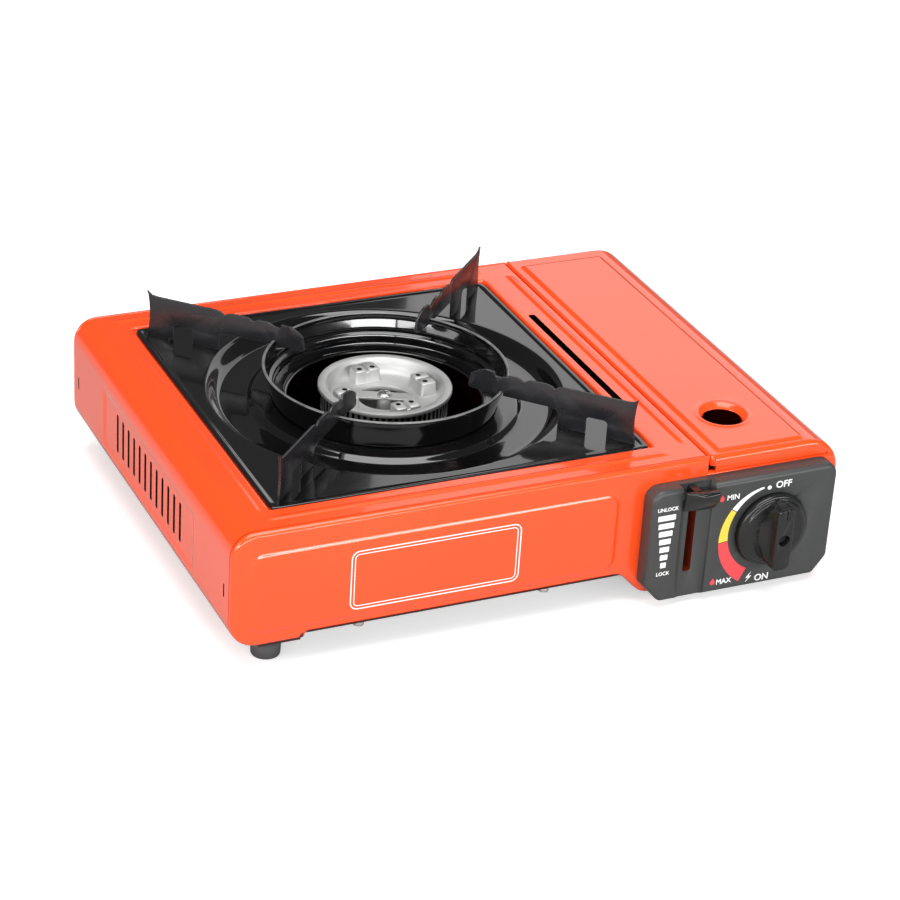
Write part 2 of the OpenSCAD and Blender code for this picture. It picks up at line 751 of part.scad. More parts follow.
cam_y0 = front_y + 4;
cam_r = 7;
cam_lobe = 9;
module igniter_cam() color(plastic) difference() {
    union() {
        bar_y(knob_x, knob_z, cam_r, cam_y0, bracket_y - 1.5);
        box([knob_x - 2, cam_y0, knob_z], [knob_x + 2, bracket_y - 1.5, knob_z + cam_lobe]);
    }
    bar_y(knob_x, knob_z, spindle_r, cam_y0 - eps, bracket_y);
}

module regulator_bracket() color(zinc) difference() {
    ear_l = 13;
    ear_r = 10;
    foot_l = 8;
    x0 = regulator_x0 - ear_l;
    x1 = regulator_x1 + ear_r;
    union() {
        box([x0, bracket_y, bay_top], [x1, regulator_y, regulator_z1 + 2]);
        box([regulator_x0 - 1, bracket_y, bay_top], [x1, regulator_y + foot_l, bay_top + 2]);
    }
    bar_y(knob_x, knob_z, spindle_r + run_gap, bracket_y - eps, regulator_y + eps);
    for (p = regulator_screw_at) bar_y(p.x, p.y, screw_r + slip, bracket_y - eps, regulator_y + eps);
}
regulator_screw_at = [
    [regulator_x0 + 6, regulator_z1 - 6], [regulator_x1 - 6, regulator_z1 - 6],
    [regulator_x0 + 6, regulator_z0 + 6], [regulator_x1 - 6, regulator_z0 + 6]
];

inlet_r = 11;
inlet_l = 6;
inlet_bore = 4.2;
seal_r = 7;
seal_l = 2;
module regulator_body() color(alloy) difference() {
    union() {
        along_y(regulator_y, regulator_back)
            polygon(round_rect(regulator_x0, regulator_z0, regulator_x1, regulator_z1, 4));
        bar_y(cartridge_x, cartridge_z, inlet_r, regulator_back - eps, regulator_back + inlet_l);
    }
    bar_y(knob_x, knob_z, spindle_r + slip, regulator_y - eps, regulator_y + 8 + run_gap);
    bar_y(cartridge_x, cartridge_z, inlet_bore, regulator_back - 6, regulator_back + inlet_l + eps);
    bar_y(cartridge_x, cartridge_z, seal_r, regulator_back + inlet_l - seal_l,
        regulator_back + inlet_l + eps);
    translate([regulator_x0 - eps, pipe_y, pipe_z]) rotate([0, 90, 0]) cylinder(r = pipe_r, h = 6 + eps);
    for (p = regulator_screw_at) bar_y(p.x, p.y, screw_r + slip, regulator_y - eps, regulator_y + 6);
}

module regulator_cover() color(zinc) {
    y = (regulator_y + regulator_back) / 2;
    z = (regulator_z0 + regulator_z1) / 2;
    translate([regulator_x1, y, z]) rotate([0, 90, 0]) {
        cylinder(r = 13, h = 2);
        translate([0, 0, 2]) cylinder(r1 = 10, r2 = 8, h = 5);
    }
}

module regulator_screws() color(zinc) for (p = regulator_screw_at)
    translate([p.x, bracket_y, p.y]) rotate([-90, 0, 0]) screw(6);

module inlet_seal() color("#202020") difference() {
    bar_y(cartridge_x, cartridge_z, seal_r, regulator_back + inlet_l - seal_l, regulator_back + inlet_l);
    bar_y(cartridge_x, cartridge_z, inlet_bore, regulator_back, regulator_back + inlet_l + eps);
}

module gas_pipe() color("#b87333") difference() {
    translate([jet_x + jet_r - 2, pipe_y, pipe_z]) rotate([0, 90, 0])
        cylinder(r = pipe_r, h = regulator_x0 + 6 - jet_x - jet_r + 2);
    translate([jet_x + jet_r - 3, pipe_y, pipe_z]) rotate([0, 90, 0])
        cylinder(r = pipe_r - 1, h = regulator_x0 + 20 - jet_x);
}

module jet_holder() color(brass) difference() {
    z0 = min(pipe_z - pipe_r, mixer_z) - 4;
    z1 = max(pipe_z + pipe_r, mixer_z) + 5;
    translate([jet_x, pipe_y, z0]) cylinder(r = jet_r, h = z1 - z0);
    translate([jet_x + jet_r - 2, pipe_y, pipe_z]) rotate([0, 90, 0]) cylinder(r = pipe_r, h = jet_r);
    along_jet(2) cylinder(r = nozzle_r, h = jet_r);
}

// Along the jet's axis, from the holder towards the burner
module along_jet(s) translate([jet_x, pipe_y, mixer_z]) rotate([0, 90, jet_dir]) translate([0, 0, s])
    children();
nozzle_r = 2.6;
nozzle_l = 14;
module jet_nozzle() color(brass) along_jet(2) difference() {
    cylinder(r = nozzle_r, h = nozzle_l);
    translate([0, 0, 4]) cylinder(r = 0.6, h = nozzle_l);
}

module mixer_tube() color(alloy) {
    mouth = jet_r + 5;
    tip = jet_l - cup_r + cup_wall + 3;
    along_jet(mouth) difference() {
        cylinder(r = mixer_r, h = tip - mouth);
        translate([0, 0, -eps]) cylinder(r = mixer_r - 1.5, h = tip - mouth + 2 * eps);
    }
}

module burner_cup() color(alloy) difference() {
    translate([tray_x, tray_y, 0]) {
        translate([0, 0, cup_z]) difference() {
            cylinder(r = cup_r, h = cup_h);
            translate([0, 0, cup_wall]) cylinder(r = cup_r - cup_wall, h = cup_h);
        }
        translate([0, 0, head_z - 2]) difference() {
            cylinder(r = cup_r + 3, h = 2);
            translate([0, 0, -eps]) cylinder(r = cup_r - 1, h = 3);
        }
        translate([0, 0, cup_z]) cylinder(r = post_r, h = floor_z - cup_z);
    }
    translate([tray_x, tray_y, floor_z - 12]) cylinder(r = screw_r + 0.5 + slip, h = 13);
    along_jet(jet_l - cup_r - 5) cylinder(r = mixer_r + slip / 2, h = 12);
}

bracket_half = 20;
bracket_foot_y = bracket_half + 6;
module burner_bracket() color(zinc) translate([tray_x, tray_y, 0]) difference() {
    x = 17;
    top = cup_z;
    union() {
        box([-x, -bracket_half, top - bracket_t], [x, bracket_half, top]);
        for (s = [-1, 1]) mirror([0, s > 0 ? 0 : 1, 0]) {
            box([-x, bracket_half - bracket_t, box_top], [x, bracket_half, top]);
            box([-x, bracket_half - bracket_t, box_top], [x, bracket_half + 12, box_top + bracket_t]);
        }
    }
    for (s = [-1, 1]) translate([0, s * bracket_foot_y, box_top - eps])
        cylinder(r = screw_r + slip, h = bracket_t + 2 * eps);
}

module bracket_screws() color(zinc) for (s = [-1, 1])
    translate([tray_x, tray_y + s * bracket_foot_y, box_top + bracket_t]) mirror([0, 0, 1]) screw(5);

block_at = 5;
strip_at = block_at - 30;
block_reach = 22;
module burner_head() color(alloy) translate([tray_x, tray_y, 0]) {
    rim_w = 4.5;
    neck_r = head_r - 2;
    port_w = 1.5;
    port_z = head_z + 3;
    port_top = burner_top - 3.6;
    port_low = port_z + 2.6;
    port_r = neck_r - 2.4;
    port_root = neck_r - 4.4;
    boss_w = 6.6;
    boss_h = bowl_depth - 0.8;
    boss_pitch = 7.8;
    hole_l = 4;
    difference() {
        rotate_extrude() polygon([
            [head_hole_r, floor_z - 4], [neck_r - 4, floor_z - 4], [neck_r - 4, head_z], [neck_r, head_z],
            [neck_r, burner_top - 3.3], [head_r, burner_top - 2.2], [head_r, burner_top - 1],
            [head_r - 1, burner_top], [head_r - rim_w, burner_top], [head_r - rim_w - 3, floor_z],
            [head_hole_r, floor_z]]);
        for (i = [0:port_count - 1]) rotate([0, 0, i * 360 / port_count])
            translate([0, port_w / 2, 0]) rotate([90, 0, 0]) linear_extrude(port_w) polygon([
                [port_root, port_z], [neck_r + 1, port_z], [neck_r + 1, port_top], [port_r, port_top],
                [port_r, port_low], [port_root, port_low]]);
    }
    for (i = [0:3]) rotate([0, 0, block_at + 90 * i]) translate([block_reach, 0, floor_z - eps])
        for (s = [-1, 1]) translate([0, s * boss_pitch / 2, 0]) difference() {
            translate([-boss_w / 2, -boss_w / 2, 0]) cube([boss_w, boss_w, boss_h + eps]);
            translate([0, 0, boss_h - hole_l]) cylinder(r = 0.9, h = hole_l + 2 * eps);
        }
}

module burner_strip() color(zinc) translate([tray_x, tray_y, floor_z]) difference() {
    half = head_hole_r + 2.5;
    rotate([0, 0, strip_at]) translate([-half, -4, 0]) cube([2 * half, 8, strip_t]);
    translate([0, 0, -eps]) cylinder(r = screw_r + 0.5 + slip, h = strip_t + 2 * eps);
}

module burner_screw() color(zinc) translate([tray_x, tray_y, floor_z + strip_t]) {
    cylinder(r = 4, h = screw_head_h);
    translate([0, 0, -10]) cylinder(r = screw_r + 0.5, h = 10);
}

module electrode_bracket() color(zinc) difference() {
    reach = electrode_reach + insulator_r + 2;
    translate([tray_x, tray_y, electrode_z + 4]) rotate([0, 0, electrode_a])
        translate([0, -5, 0]) cube([reach, 10, 1.5]);
    translate([tray_x, tray_y, electrode_z]) cylinder(r = cup_r, h = 10);
    translate([electrode_x, electrode_y, electrode_z]) cylinder(r = insulator_r, h = 10);
}

module electrode_insulator() color("white") translate([electrode_x, electrode_y, electrode_z]) difference() {
    cylinder(r = insulator_r, h = insulator_h);
    translate([0, 0, insulator_h - rod_seat]) cylinder(r = rod_r, h = rod_seat + eps);
}
rod_r = 0.8;
rod_l = 14;
rod_seat = 8;
rod_hook = 2.5;
module electrode_rod() color(zinc)
    translate([electrode_x, electrode_y, electrode_z + insulator_h - rod_seat]) {
        cylinder(r = rod_r, h = rod_l);
        rotate([0, 0, electrode_a]) translate([-rod_hook, -rod_r / 2, rod_l - 1 - rod_r])
            cube([rod_hook, rod_r, rod_r]);
    }

piezo_half = 5;
piezo_drop = 8;
piezo_rise = 24;
module piezo_igniter() color(plastic)
    box([piezo_x - piezo_half, regulator_y, lead_z - piezo_drop],
        [piezo_x + piezo_half, piezo_back, lead_z + piezo_rise]);

module igniter_lead() color("#202020") tube(lead_route, lead_r, 8);

module lever_guide() color(paint) difference() {
    x0 = lever_x - carriage_w / 2 - run_gap;
    x1 = lever_x + carriage_w / 2 + run_gap;
    y0 = front_y + sheet;
    y1 = carriage_y0 + carriage_l;
    top = deck_h - 3 * sheet;
    union() {
        box([x0 - sheet, y0, guide_foot], [x1 + sheet, y0 + sheet, top]);
        box([x0 - sheet, y0, guide_foot], [x0, y1, top]);
        box([x1, y0, guide_foot], [x1 + sheet, pin_y - pin_r - 2, top]);
        box([x0 - sheet, y0, guide_foot], [x1 + sheet, pin_y - pin_r - 2, guide_foot + sheet]);
    }
    box([lever_x - slot_w / 2 - run_gap, y0 - eps, slot_z0 - run_gap],
        [lever_x + slot_w / 2 + run_gap, y0 + sheet + eps, slot_z1 + run_gap]);
}

spring_foot = guide_foot + sheet;
spring_top = lever_z - carriage_h / 2;
spring_y = carriage_y0 + 6;
spring_end = 2 * spring_wire_r;
spring_rings = 8 * spring_turns;
spring_pitch = (spring_top - spring_foot - 2 * spring_end) / spring_turns;
spring_coil = [for (i = [0:spring_rings]) let (a = 45 * i)
    [lever_x + spring_r * cos(a), spring_y + spring_r * sin(a),
     spring_foot + spring_end + spring_pitch * i / 8]];
spring_route = concat([[lever_x + spring_r, spring_y, spring_foot]], spring_coil,
    [[lever_x + spring_r, spring_y, spring_top]]);
echo(spring_gap = min([for (i = [0:spring_rings - 5], j = [i + 5:spring_rings])
    norm(spring_coil[i] - spring_coil[j])]) - 2 * spring_wire_r);
module lever_spring() color(zinc) tube(spring_route, spring_wire_r, 6);

tab_x0 = lever_x - 7.3;
tab_face_x0 = lever_x + 0.5;
tab_x1 = lever_x + 9.7;
tab_low = 8;
tab_high = 3.6;
tab_t = 5;
tab_lip = 0.5;
tab_step = 1;
tab_proud = 8;
module lock_lever() color("#2a2b2a") {
    stem_y1 = carriage_y0 + 4;
    tab_back = face_y - run_gap;
    tab_front = face_y - tab_proud;
    intersection() {
        along_x(tab_x0, tab_x1) polygon([
            [tab_back, lever_z - tab_low], [tab_back - 2, lever_z - tab_low],
            [tab_front, lever_z - tab_lip], [tab_front, lever_z + tab_high - tab_step],
            [tab_front + tab_step, lever_z + tab_high], [tab_front + tab_t, lever_z + tab_high],
            [tab_front + tab_t, lever_z + tab_step], [tab_back, lever_z + tab_step]]);
        translate([0, 0, lever_z - tab_low]) linear_extrude(tab_low + tab_high) polygon([
            [tab_x0, tab_back], [tab_x0, tab_back - 2], [tab_face_x0, tab_front], [tab_x1, tab_front],
            [tab_x1, tab_back]]);
    }
    box([lever_x - stem_w / 2, tab_back - 2, lever_z - stem_h / 2],
        [lever_x + stem_w / 2, stem_y1, lever_z + stem_h / 2]);
}

module lever_carriage() color(zinc) difference() {
    half = carriage_w / 2;
    box([lever_x - half, carriage_y0, lever_z - carriage_h / 2],
        [lever_x + half, carriage_y0 + carriage_l, lever_z + carriage_h / 2]);
    box([lever_x - stem_w / 2, carriage_y0 - eps, lever_z - stem_h / 2],
        [lever_x + stem_w / 2, carriage_y0 + 4, lever_z + stem_h / 2]);
    translate([lever_x, pin_y, lever_z]) rotate([0, 90, 0]) cylinder(r = pin_r, h = carriage_w);
}

module cam_pin() color(zinc) translate([lever_x, pin_y, lever_z]) rotate([0, 90, 0])
    cylinder(r = pin_r, h = cam_x + cam_t + 1 - lever_x);

module lid_section() {
    top = [right_x - lid_edge_r, lid_edge_z];
    polygon(concat(
        [[seam_r, deck_h - 5], [seam_r + sheet, deck_h - 5], [seam_r + sheet, deck_h - sheet]],
        arc(top, lid_edge_r - sheet, 90, 0), [[right_x - sheet, lid_side_z], [right_x, lid_side_z]],
        arc(top, lid_edge_r, 0, 90), [[seam_r, deck_h]]));
}
module lid_face() intersection() {
    top = [right_x - lid_edge_r, lid_edge_z];
    polygon(concat([[seam_r, lid_side_z], [right_x, lid_side_z]], arc(top, lid_edge_r, 0, 90),
        [[seam_r, deck_h]]));
    translate([seam_r, lid_split]) square([lid_w, lid_flange]);
}

module cartridge_lid() color(paint) {
    end_gap = run_gap + slip;
    y0 = front_y + sheet + end_gap;
    y1 = rear_y - sheet - end_gap;
    field_x0 = seam_r + 6.5;
    field_x1 = right_x - lid_edge_r - 2;
    field_y0 = front_y + 5.5;
    field_y1 = rear_y - 12;
    hole = [cartridge_x - 10, front_y + lid_hole_y];
    lid_top = deck_h + lid_raise;
    dimple_r = lid_hole_r + 4.5;
    dimple_h = 1.5;
    difference() {
        union() {
            along_y(y0, y1) lid_section();
            for (y = [front_y + run_gap, rear_y - run_gap - sheet])
                along_y(y, y + sheet + slip) lid_face();
            along_y(front_y + run_gap + sheet / 2, y0 + sheet) lid_face();
            along_y(y1 - sheet, rear_y - run_gap - sheet / 2) lid_face();
            translate([0, 0, deck_h - sheet / 2]) linear_extrude(lid_raise + sheet / 2)
                polygon(round_rect(field_x0, field_y0, field_x1, field_y1, 8));
            for (i = [0:2:hinge_zones - 1])
                bar_y(hinge_x, hinge_z, knuckle_r, zone_y0(i) + run_gap / 2, zone_y0(i + 1) - run_gap / 2);
        }
        translate([0, 0, deck_h - 2 * sheet]) linear_extrude(lid_raise + sheet)
            difference() {
                polygon(round_rect(field_x0 + sheet, field_y0 + sheet, field_x1 - sheet,
                    field_y1 - sheet, 7));
                translate(hole) circle(r = dimple_r + sheet);
            }
        translate([hole.x, hole.y, deck_h - 2]) cylinder(r = lid_hole_r, h = 2 + lid_raise + eps);
        translate([hole.x, hole.y, lid_top - dimple_h])
            cylinder(r1 = lid_hole_r, r2 = dimple_r, h = dimple_h + slip);
        bar_y(hinge_x, hinge_z, hinge_rod_r + slip, front_y, rear_y);
        for (i = [1:2:hinge_zones - 1]) box([hinge_x - 2 * knuckle_r, zone_y0(i), hinge_z - 5],
            [right_x + eps, zone_y0(i + 1), hinge_z + knuckle_r + run_gap]);
    }
}

module drip_tray() color(enamel) {
    lip_w = 3.5;
    lip_rise = 0.6;
    difference() {
        union() {
            tray_square(tray_half, tray_z - tray_sheet, tray_z);
            difference() {
                tray_square(tray_half, tray_z - tray_sheet / 2, tray_z + lip_rise);
                tray_square(tray_half - lip_w, tray_z - tray_sheet, tray_z + lip_rise + eps);
            }
        }
        translate([tray_x, tray_y, tray_z - tray_sheet - eps])
            cylinder(r = dish_r, h = tray_sheet + 3, $fn = 96);
    }
    translate([tray_x, tray_y, 0]) rotate_extrude($fn = 96)
        polygon(concat(dish_line(0), reversed(dish_line(-tray_sheet))));
}
function reversed(v) = [for (i = [len(v) - 1:-1:0]) v[i]];
// Top line of the dish, from the middle hole out to the flat
function dish_line(dz) = [
    [tray_hole_r, seat_z + dz], [ring_r + 3, seat_z + dz], [ring_r + 5, tray_z - dish_depth + dz],
    [dish_r - 8, tray_z - dish_depth + dz], [dish_r - 1, tray_z + dz], [dish_r + 1, tray_z + dz]
];

module wind_ring() color(enamel) translate([tray_x, tray_y, 0]) {
    foot = ring_r - 6;
    rim_z = tray_z + ring_h;
    rotate_extrude($fn = 96) polygon([
        [foot - 6, seat_z], [foot + 0.5, seat_z], [ring_r - 0.4, rim_z - 1.8], [ring_r, rim_z - 0.8],
        [ring_r - 0.3, rim_z], [ring_r - 1.4, rim_z], [ring_r - 1.6, rim_z - 1.2], [foot - 0.5, seat_z + 1],
        [foot - 6, seat_z + 1]]);
}

// A pan support's outline: radius from the burner's axis, height above the tray's flat
support_tooth = 2.2;
support_seat = 2.4;
window_h = 9.6;
window_r = 2;
support_leg = dish_r + 2;
support_foot = support_reach - support_leg;
window_x0 = support_leg + 0.36 * support_foot;
window_x1 = support_leg + 0.635 * support_foot;
function support_points() =
    let (u = support_reach, h = support_h, r = ring_r, low = ring_h - support_seat, notch = h - support_tooth,
         rim0 = r - support_seat, rim1 = r + eps, rim_top = ring_h + slip, leg = support_leg)
    concat([
        [u, 0], [u - 1.1, h * 0.35], [u - 1.2, h * 0.7], [u - 0.4, h], [u + eps, h + horn_h], [u - 2, h],
        [r + 33, h], [r + 28.5, notch], [r + 23, h - 0.2], [r + 14.5, h - 0.5], [r + 11.4, notch],
        [r + 7.5, h - 0.2], [r + 3, h - 0.5], [r - 1, notch], [r - 4.5, notch], [r - 5.2, h],
        [r - 10.5, h], [r - 18.6, h - 4], [r - 19.8, low + 1.5], [r - 17, low], [rim0, low],
        [rim0, rim_top], [rim1, rim_top], [rim1, low], [leg - 4, low - 0.4], [leg, low - 2], [leg, 0],
        [window_x0, 0]],
        arc([window_x0 + window_r, window_h - window_r], window_r, 180, 90, 4),
        arc([window_x1 - window_r, window_h - window_r], window_r, 90, 0, 4), [[window_x1, 0]]);

module pan_support(i) color(enamel) translate([tray_x, tray_y, tray_z]) rotate([90, 0, 45 + 90 * i])
    linear_extrude(support_t, center = true) polygon(support_points());

body_shell();
front_panel();
rear_panel();
base_plate();
bay_pan();
bay_divider();
cartridge_cradle();
heat_plate();
control_panel();
foot(0);  // foot_left_front
foot(1);  // foot_left_rear
foot(2);  // foot_right_front
foot(3);  // foot_right_rear
foot_screws();
base_screws();
panel_screws();
hinge_rod();
regulator_bracket();
regulator_body();
regulator_cover();
regulator_screws();
inlet_seal();
gas_pipe();
jet_holder();
jet_nozzle();
mixer_tube();
piezo_igniter();
igniter_lead();
electrode_bracket();
electrode_insulator();
electrode_rod();
burner_bracket();
bracket_screws();
burner_cup();
burner_head();
burner_strip();
burner_screw();
lever_guide();
lever_spring();
cartridge_lid();
knob();
valve_spindle();
igniter_cam();
knob_screw();
lock_lever();
lever_carriage();
cam_pin();
cartridge_pusher();
drip_tray();
wind_ring();
pan_support(0);  // pan_support_0
pan_support(1);  // pan_support_1
pan_support(2);  // pan_support_2
pan_support(3);  // pan_support_3
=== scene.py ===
"""Looks of a portable gas stove: paint, enamel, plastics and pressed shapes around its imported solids."""

import json
import math

import bmesh
import bpy
from bpy.props import FloatProperty, FloatVectorProperty, IntProperty, PointerProperty
from mathutils import Matrix, Vector


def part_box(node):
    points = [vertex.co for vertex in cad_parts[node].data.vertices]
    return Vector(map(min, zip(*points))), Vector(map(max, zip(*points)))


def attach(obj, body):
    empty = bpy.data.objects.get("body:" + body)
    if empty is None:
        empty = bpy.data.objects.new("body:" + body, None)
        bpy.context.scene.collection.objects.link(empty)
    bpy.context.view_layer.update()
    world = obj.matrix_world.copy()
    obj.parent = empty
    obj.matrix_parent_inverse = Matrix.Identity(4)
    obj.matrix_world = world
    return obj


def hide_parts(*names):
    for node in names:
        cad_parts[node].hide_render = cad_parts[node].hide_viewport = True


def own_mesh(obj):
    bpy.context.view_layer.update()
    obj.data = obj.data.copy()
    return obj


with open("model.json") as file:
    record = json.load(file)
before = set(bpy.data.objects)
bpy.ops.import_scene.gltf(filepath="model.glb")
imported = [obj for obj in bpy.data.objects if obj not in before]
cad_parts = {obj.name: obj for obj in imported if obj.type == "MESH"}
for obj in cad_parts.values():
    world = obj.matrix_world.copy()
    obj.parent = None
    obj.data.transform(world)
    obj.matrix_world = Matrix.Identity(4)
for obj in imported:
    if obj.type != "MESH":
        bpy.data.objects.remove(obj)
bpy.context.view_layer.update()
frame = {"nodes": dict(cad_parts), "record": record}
NODES = frame["nodes"]

bl_info = {
    "name": "Portable Gas Stove",
    "version": (1, 0, 0),
    "blender": (4, 5, 0),
    "location": "View3D > Sidebar > Stove",
    "description": "Builds the visible pieces of a portable gas stove around its solids",
    "category": "Object",
}

MM = 0.001


def node_box(name):
    """Lowest and highest corner of a solid, in millimetres."""
    lo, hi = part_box(name)
    return [c / MM for c in lo], [c / MM for c in hi]


def midpoint(lo, hi):
    return [(a + b) / 2 for a, b in zip(lo, hi)]


# Boxes of the solids that the pieces follow, in millimetres
SHELL_LO, SHELL_HI = node_box("body_shell")
PAN_LO, PAN_HI = node_box("bay_pan")
TRAY_LO, TRAY_HI = node_box("drip_tray")
RING_LO, RING_HI = node_box("wind_ring")
HEAD_LO, HEAD_HI = node_box("burner_head")
KNOB_LO, KNOB_HI = node_box("knob")
PANEL_LO, PANEL_HI = node_box("control_panel")
LEVER_LO, LEVER_HI = node_box("lock_lever")
STEM_LO, STEM_HI = node_box("lever_carriage")
SPRING_LO, SPRING_HI = node_box("lever_spring")
SPINDLE_END = node_box("valve_spindle")[0][1]

# Sizes of the solids that their boxes don't show, in millimetres
SHEET, RIM_DEPTH = 1.0, 4.0
TRAY_LIP, TRAY_SINK = 0.6, 1.0
BAY_WIDTH, LID_SKIRT, CORNER_DROP = 108.0, 8.0, 1.9
SLOT_HALF, SLOT_FOOT = 2.3, 19.5

# Faces and middles of the solids, in millimetres
LEFT, RIGHT = SHELL_LO[0], PAN_HI[0]
FRONT, REAR = SHELL_LO[1] - SHEET, SHELL_HI[1] + SHEET
SEAM_LEFT, SEAM_RIGHT = SHELL_HI[0], node_box("cartridge_lid")[0][0]
BOX_FLOOR, BAY_FLOOR = SHELL_LO[2], PAN_LO[2]
CORNER_FLOOR = BOX_FLOOR - CORNER_DROP
TRAY_X, TRAY_Y, _ = midpoint(TRAY_LO, TRAY_HI)
TRAY_HALF = (TRAY_HI[0] - TRAY_LO[0]) / 2
TRAY_FLAT = TRAY_HI[2] - TRAY_LIP
DECK = TRAY_FLAT + TRAY_SINK
BAY_LEFT = RIGHT - BAY_WIDTH
LID_SPLIT = DECK - LID_SKIRT
RING_R = (RING_HI[0] - RING_LO[0]) / 2
HEAD_R = (HEAD_HI[0] - HEAD_LO[0]) / 2
KNOB_R = (KNOB_HI[0] - KNOB_LO[0]) / 2
KNOB_X, _, KNOB_Z = midpoint(KNOB_LO, KNOB_HI)
FACE = PANEL_LO[1]
LEVER_X = midpoint(STEM_LO, STEM_HI)[0]
HINGE_X, _, HINGE_Z = midpoint(*node_box("hinge_rod"))
INSIDE_Z = 45.0


def length(name, description, value, low, high):
    """A size that a user can change, in metres."""
    return FloatProperty(name=name, description=description, default=value, min=low, max=high,
                         subtype="DISTANCE")


def number(name, description, value, low, high):
    """A number of like things that a user can change."""
    return IntProperty(name=name, description=description, default=value, min=low, max=high)


def colour(name, description, value):
    """A colour that a user can change, in linear values."""
    return FloatVectorProperty(name=name, description=description, default=value, size=3, min=0.0, max=1.0,
                               subtype="COLOR")


class StoveBodySizes(bpy.types.PropertyGroup):
    """Sizes of the pressed body"""
    edge_radius: length("Edge radius", "Radius of the left long top edge", 0.013, 0.005, 0.02)
    lid_edge_radius: length("Lid edge radius", "Radius of the lid's outer long edge", 0.019, 0.013, 0.019)
    lower_radius: length("Lower radius", "Radius of the lower left edge", 0.0146, 0.005, 0.02)
    bay_radius: length("Bay radius", "Radius of the bay's lower edge", 0.010, 0.005, 0.02)
    rim_radius: length("Rim radius", "Rounding of the end panels' rims", 0.003, 0.001, 0.006)
    field_rise: length("Field rise", "Height of the front panel's raised field", 0.0012, 0.0, 0.003)
    bead_rise: length("Bead rise", "Height of the beads on the deck", 0.0008, 0.0, 0.002)
    lid_raise: length("Lid raise", "Height of the lid's raised field", 0.001, 0.0, 0.003)
    vent_count: number("Vents", "Number of vent slots in the left wall", 12, 1, 16)
    vent_pitch: length("Vent pitch", "Distance from one vent slot to the next", 0.0091, 0.006, 0.012)
    vent_length: length("Vent length", "Length of a vent slot", 0.0225, 0.01, 0.03)
    vent_width: length("Vent width", "Width of a vent slot", 0.003, 0.0015, 0.004)


class StoveBurnerSizes(bpy.types.PropertyGroup):
    """Sizes of the tray, the ring, the supports and the burner"""
    dish_radius: length("Dish radius", "Radius of the round dish in the tray", 0.0955, 0.09, 0.1)
    dish_depth: length("Dish depth", "Depth of the dish below the tray's flat", 0.007, 0.003, 0.01)
    seat_drop: length("Seat drop", "Depth of the ring's seat below the tray's flat", 0.0045, 0.002, 0.008)
    hole_radius: length("Hole radius", "Radius of the tray's middle hole", 0.052, 0.04, 0.056)
    support_thickness: length("Support thickness", "Thickness of a pan support", 0.0012, 0.0008, 0.002)
    paddle_turn: FloatProperty(name="Paddle turn", description="Bend of the supports' inner ends",
                               default=math.radians(-10), min=math.radians(-45), max=math.radians(45),
                               subtype="ANGLE")
    port_count: number("Ports", "Number of flame ports round the burner", 64, 24, 72)


class StoveControlSizes(bpy.types.PropertyGroup):
    """Sizes of the control panel, the knob and the lever"""
    panel_round: length("Panel rounding", "Rounding of the control panel's edge", 0.0028, 0.001, 0.006)
    grip_width: length("Grip width", "Width of the knob's grip bar", 0.0102, 0.006, 0.014)
    print_height: length("Print height", "Thickness of the printed marks", 0.00012, 0.00005, 0.0003)
    bar_count: number("Bars", "Number of bars beside the lever", 7, 3, 9)


class StoveFinishColours(bpy.types.PropertyGroup):
    """Colours of the finishes"""
    paint: colour("Paint", "Glossy paint of the body", (0.93, 0.075, 0.010))
    enamel: colour("Enamel", "Enamel of the tray and the supports", (0.003, 0.003, 0.0034))
    panel: colour("Panel", "Moulded control panel", (0.045, 0.047, 0.046))
    knob: colour("Knob", "Moulded knob and lever", (0.008, 0.0085, 0.008))
    alloy: colour("Alloy", "Cast burner alloy", (0.55, 0.55, 0.545))
    zinc: colour("Zinc", "Plated steel of the inner parts", (0.55, 0.55, 0.54))
    brass: colour("Brass", "Brass of the valve and the jet", (0.62, 0.42, 0.15))
    copper: colour("Copper", "Copper of the gas pipe", (0.62, 0.30, 0.16))
    rubber: colour("Rubber", "Rubber of the feet and the seal", (0.06, 0.06, 0.062))
    ceramic: colour("Ceramic", "Ceramic of the electrode", (0.80, 0.78, 0.72))
    print_white: colour("White print", "White marks", (0.90, 0.90, 0.90))
    print_yellow: colour("Yellow print", "Yellow part of the dial", (0.90, 0.60, 0.06))
    print_red: colour("Red print", "Red part of the dial", (0.78, 0.06, 0.07))
    floor: colour("Floor", "Pale floor", (0.90, 0.90, 0.90))


def body_size(name):
    return getattr(bpy.context.scene.stove_body, name) / MM


def burner_size(name):
    return getattr(bpy.context.scene.stove_burner, name) / MM


def control_size(name):
    return getattr(bpy.context.scene.stove_controls, name) / MM


# Outlines and stations

def arc(cx, cy, r, a0, a1, n=8):
    """Points on an arc, angles in degrees."""
    turns = [math.radians(a0 + (a1 - a0) * i / n) for i in range(n + 1)]
    return [(cx + r * math.cos(a), cy + r * math.sin(a)) for a in turns]


def round_rect(x0, y0, x1, y1, r, n=6):
    """A rectangle with round corners, counter-clockwise."""
    return (arc(x1 - r, y0 + r, r, 270, 360, n) + arc(x1 - r, y1 - r, r, 0, 90, n)
            + arc(x0 + r, y1 - r, r, 90, 180, n) + arc(x0 + r, y0 + r, r, 180, 270, n))


def rounding(r):
    """Depth and inset of a quarter-round edge, from its side to its face."""
    turns = [math.radians(15 * k) for k in range(7)]
    return [(r * (1 - math.sin(a)), r * (1 - math.cos(a))) for a in turns]


def inset(points, d):
    """A counter-clockwise outline drawn in by d, its corners kept."""
    made = []
    for i, p in enumerate(points):
        before, after = Vector(points[i - 1]), Vector(points[(i + 1) % len(points)])
        a, b = (Vector(p) - before).normalized(), (after - Vector(p)).normalized()
        na, nb = Vector((-a.y, a.x)), Vector((-b.y, b.x))
        made.append(tuple(Vector(p) + (na + nb) * (d / max(0.3, 1 + na.dot(nb)))))
    return made


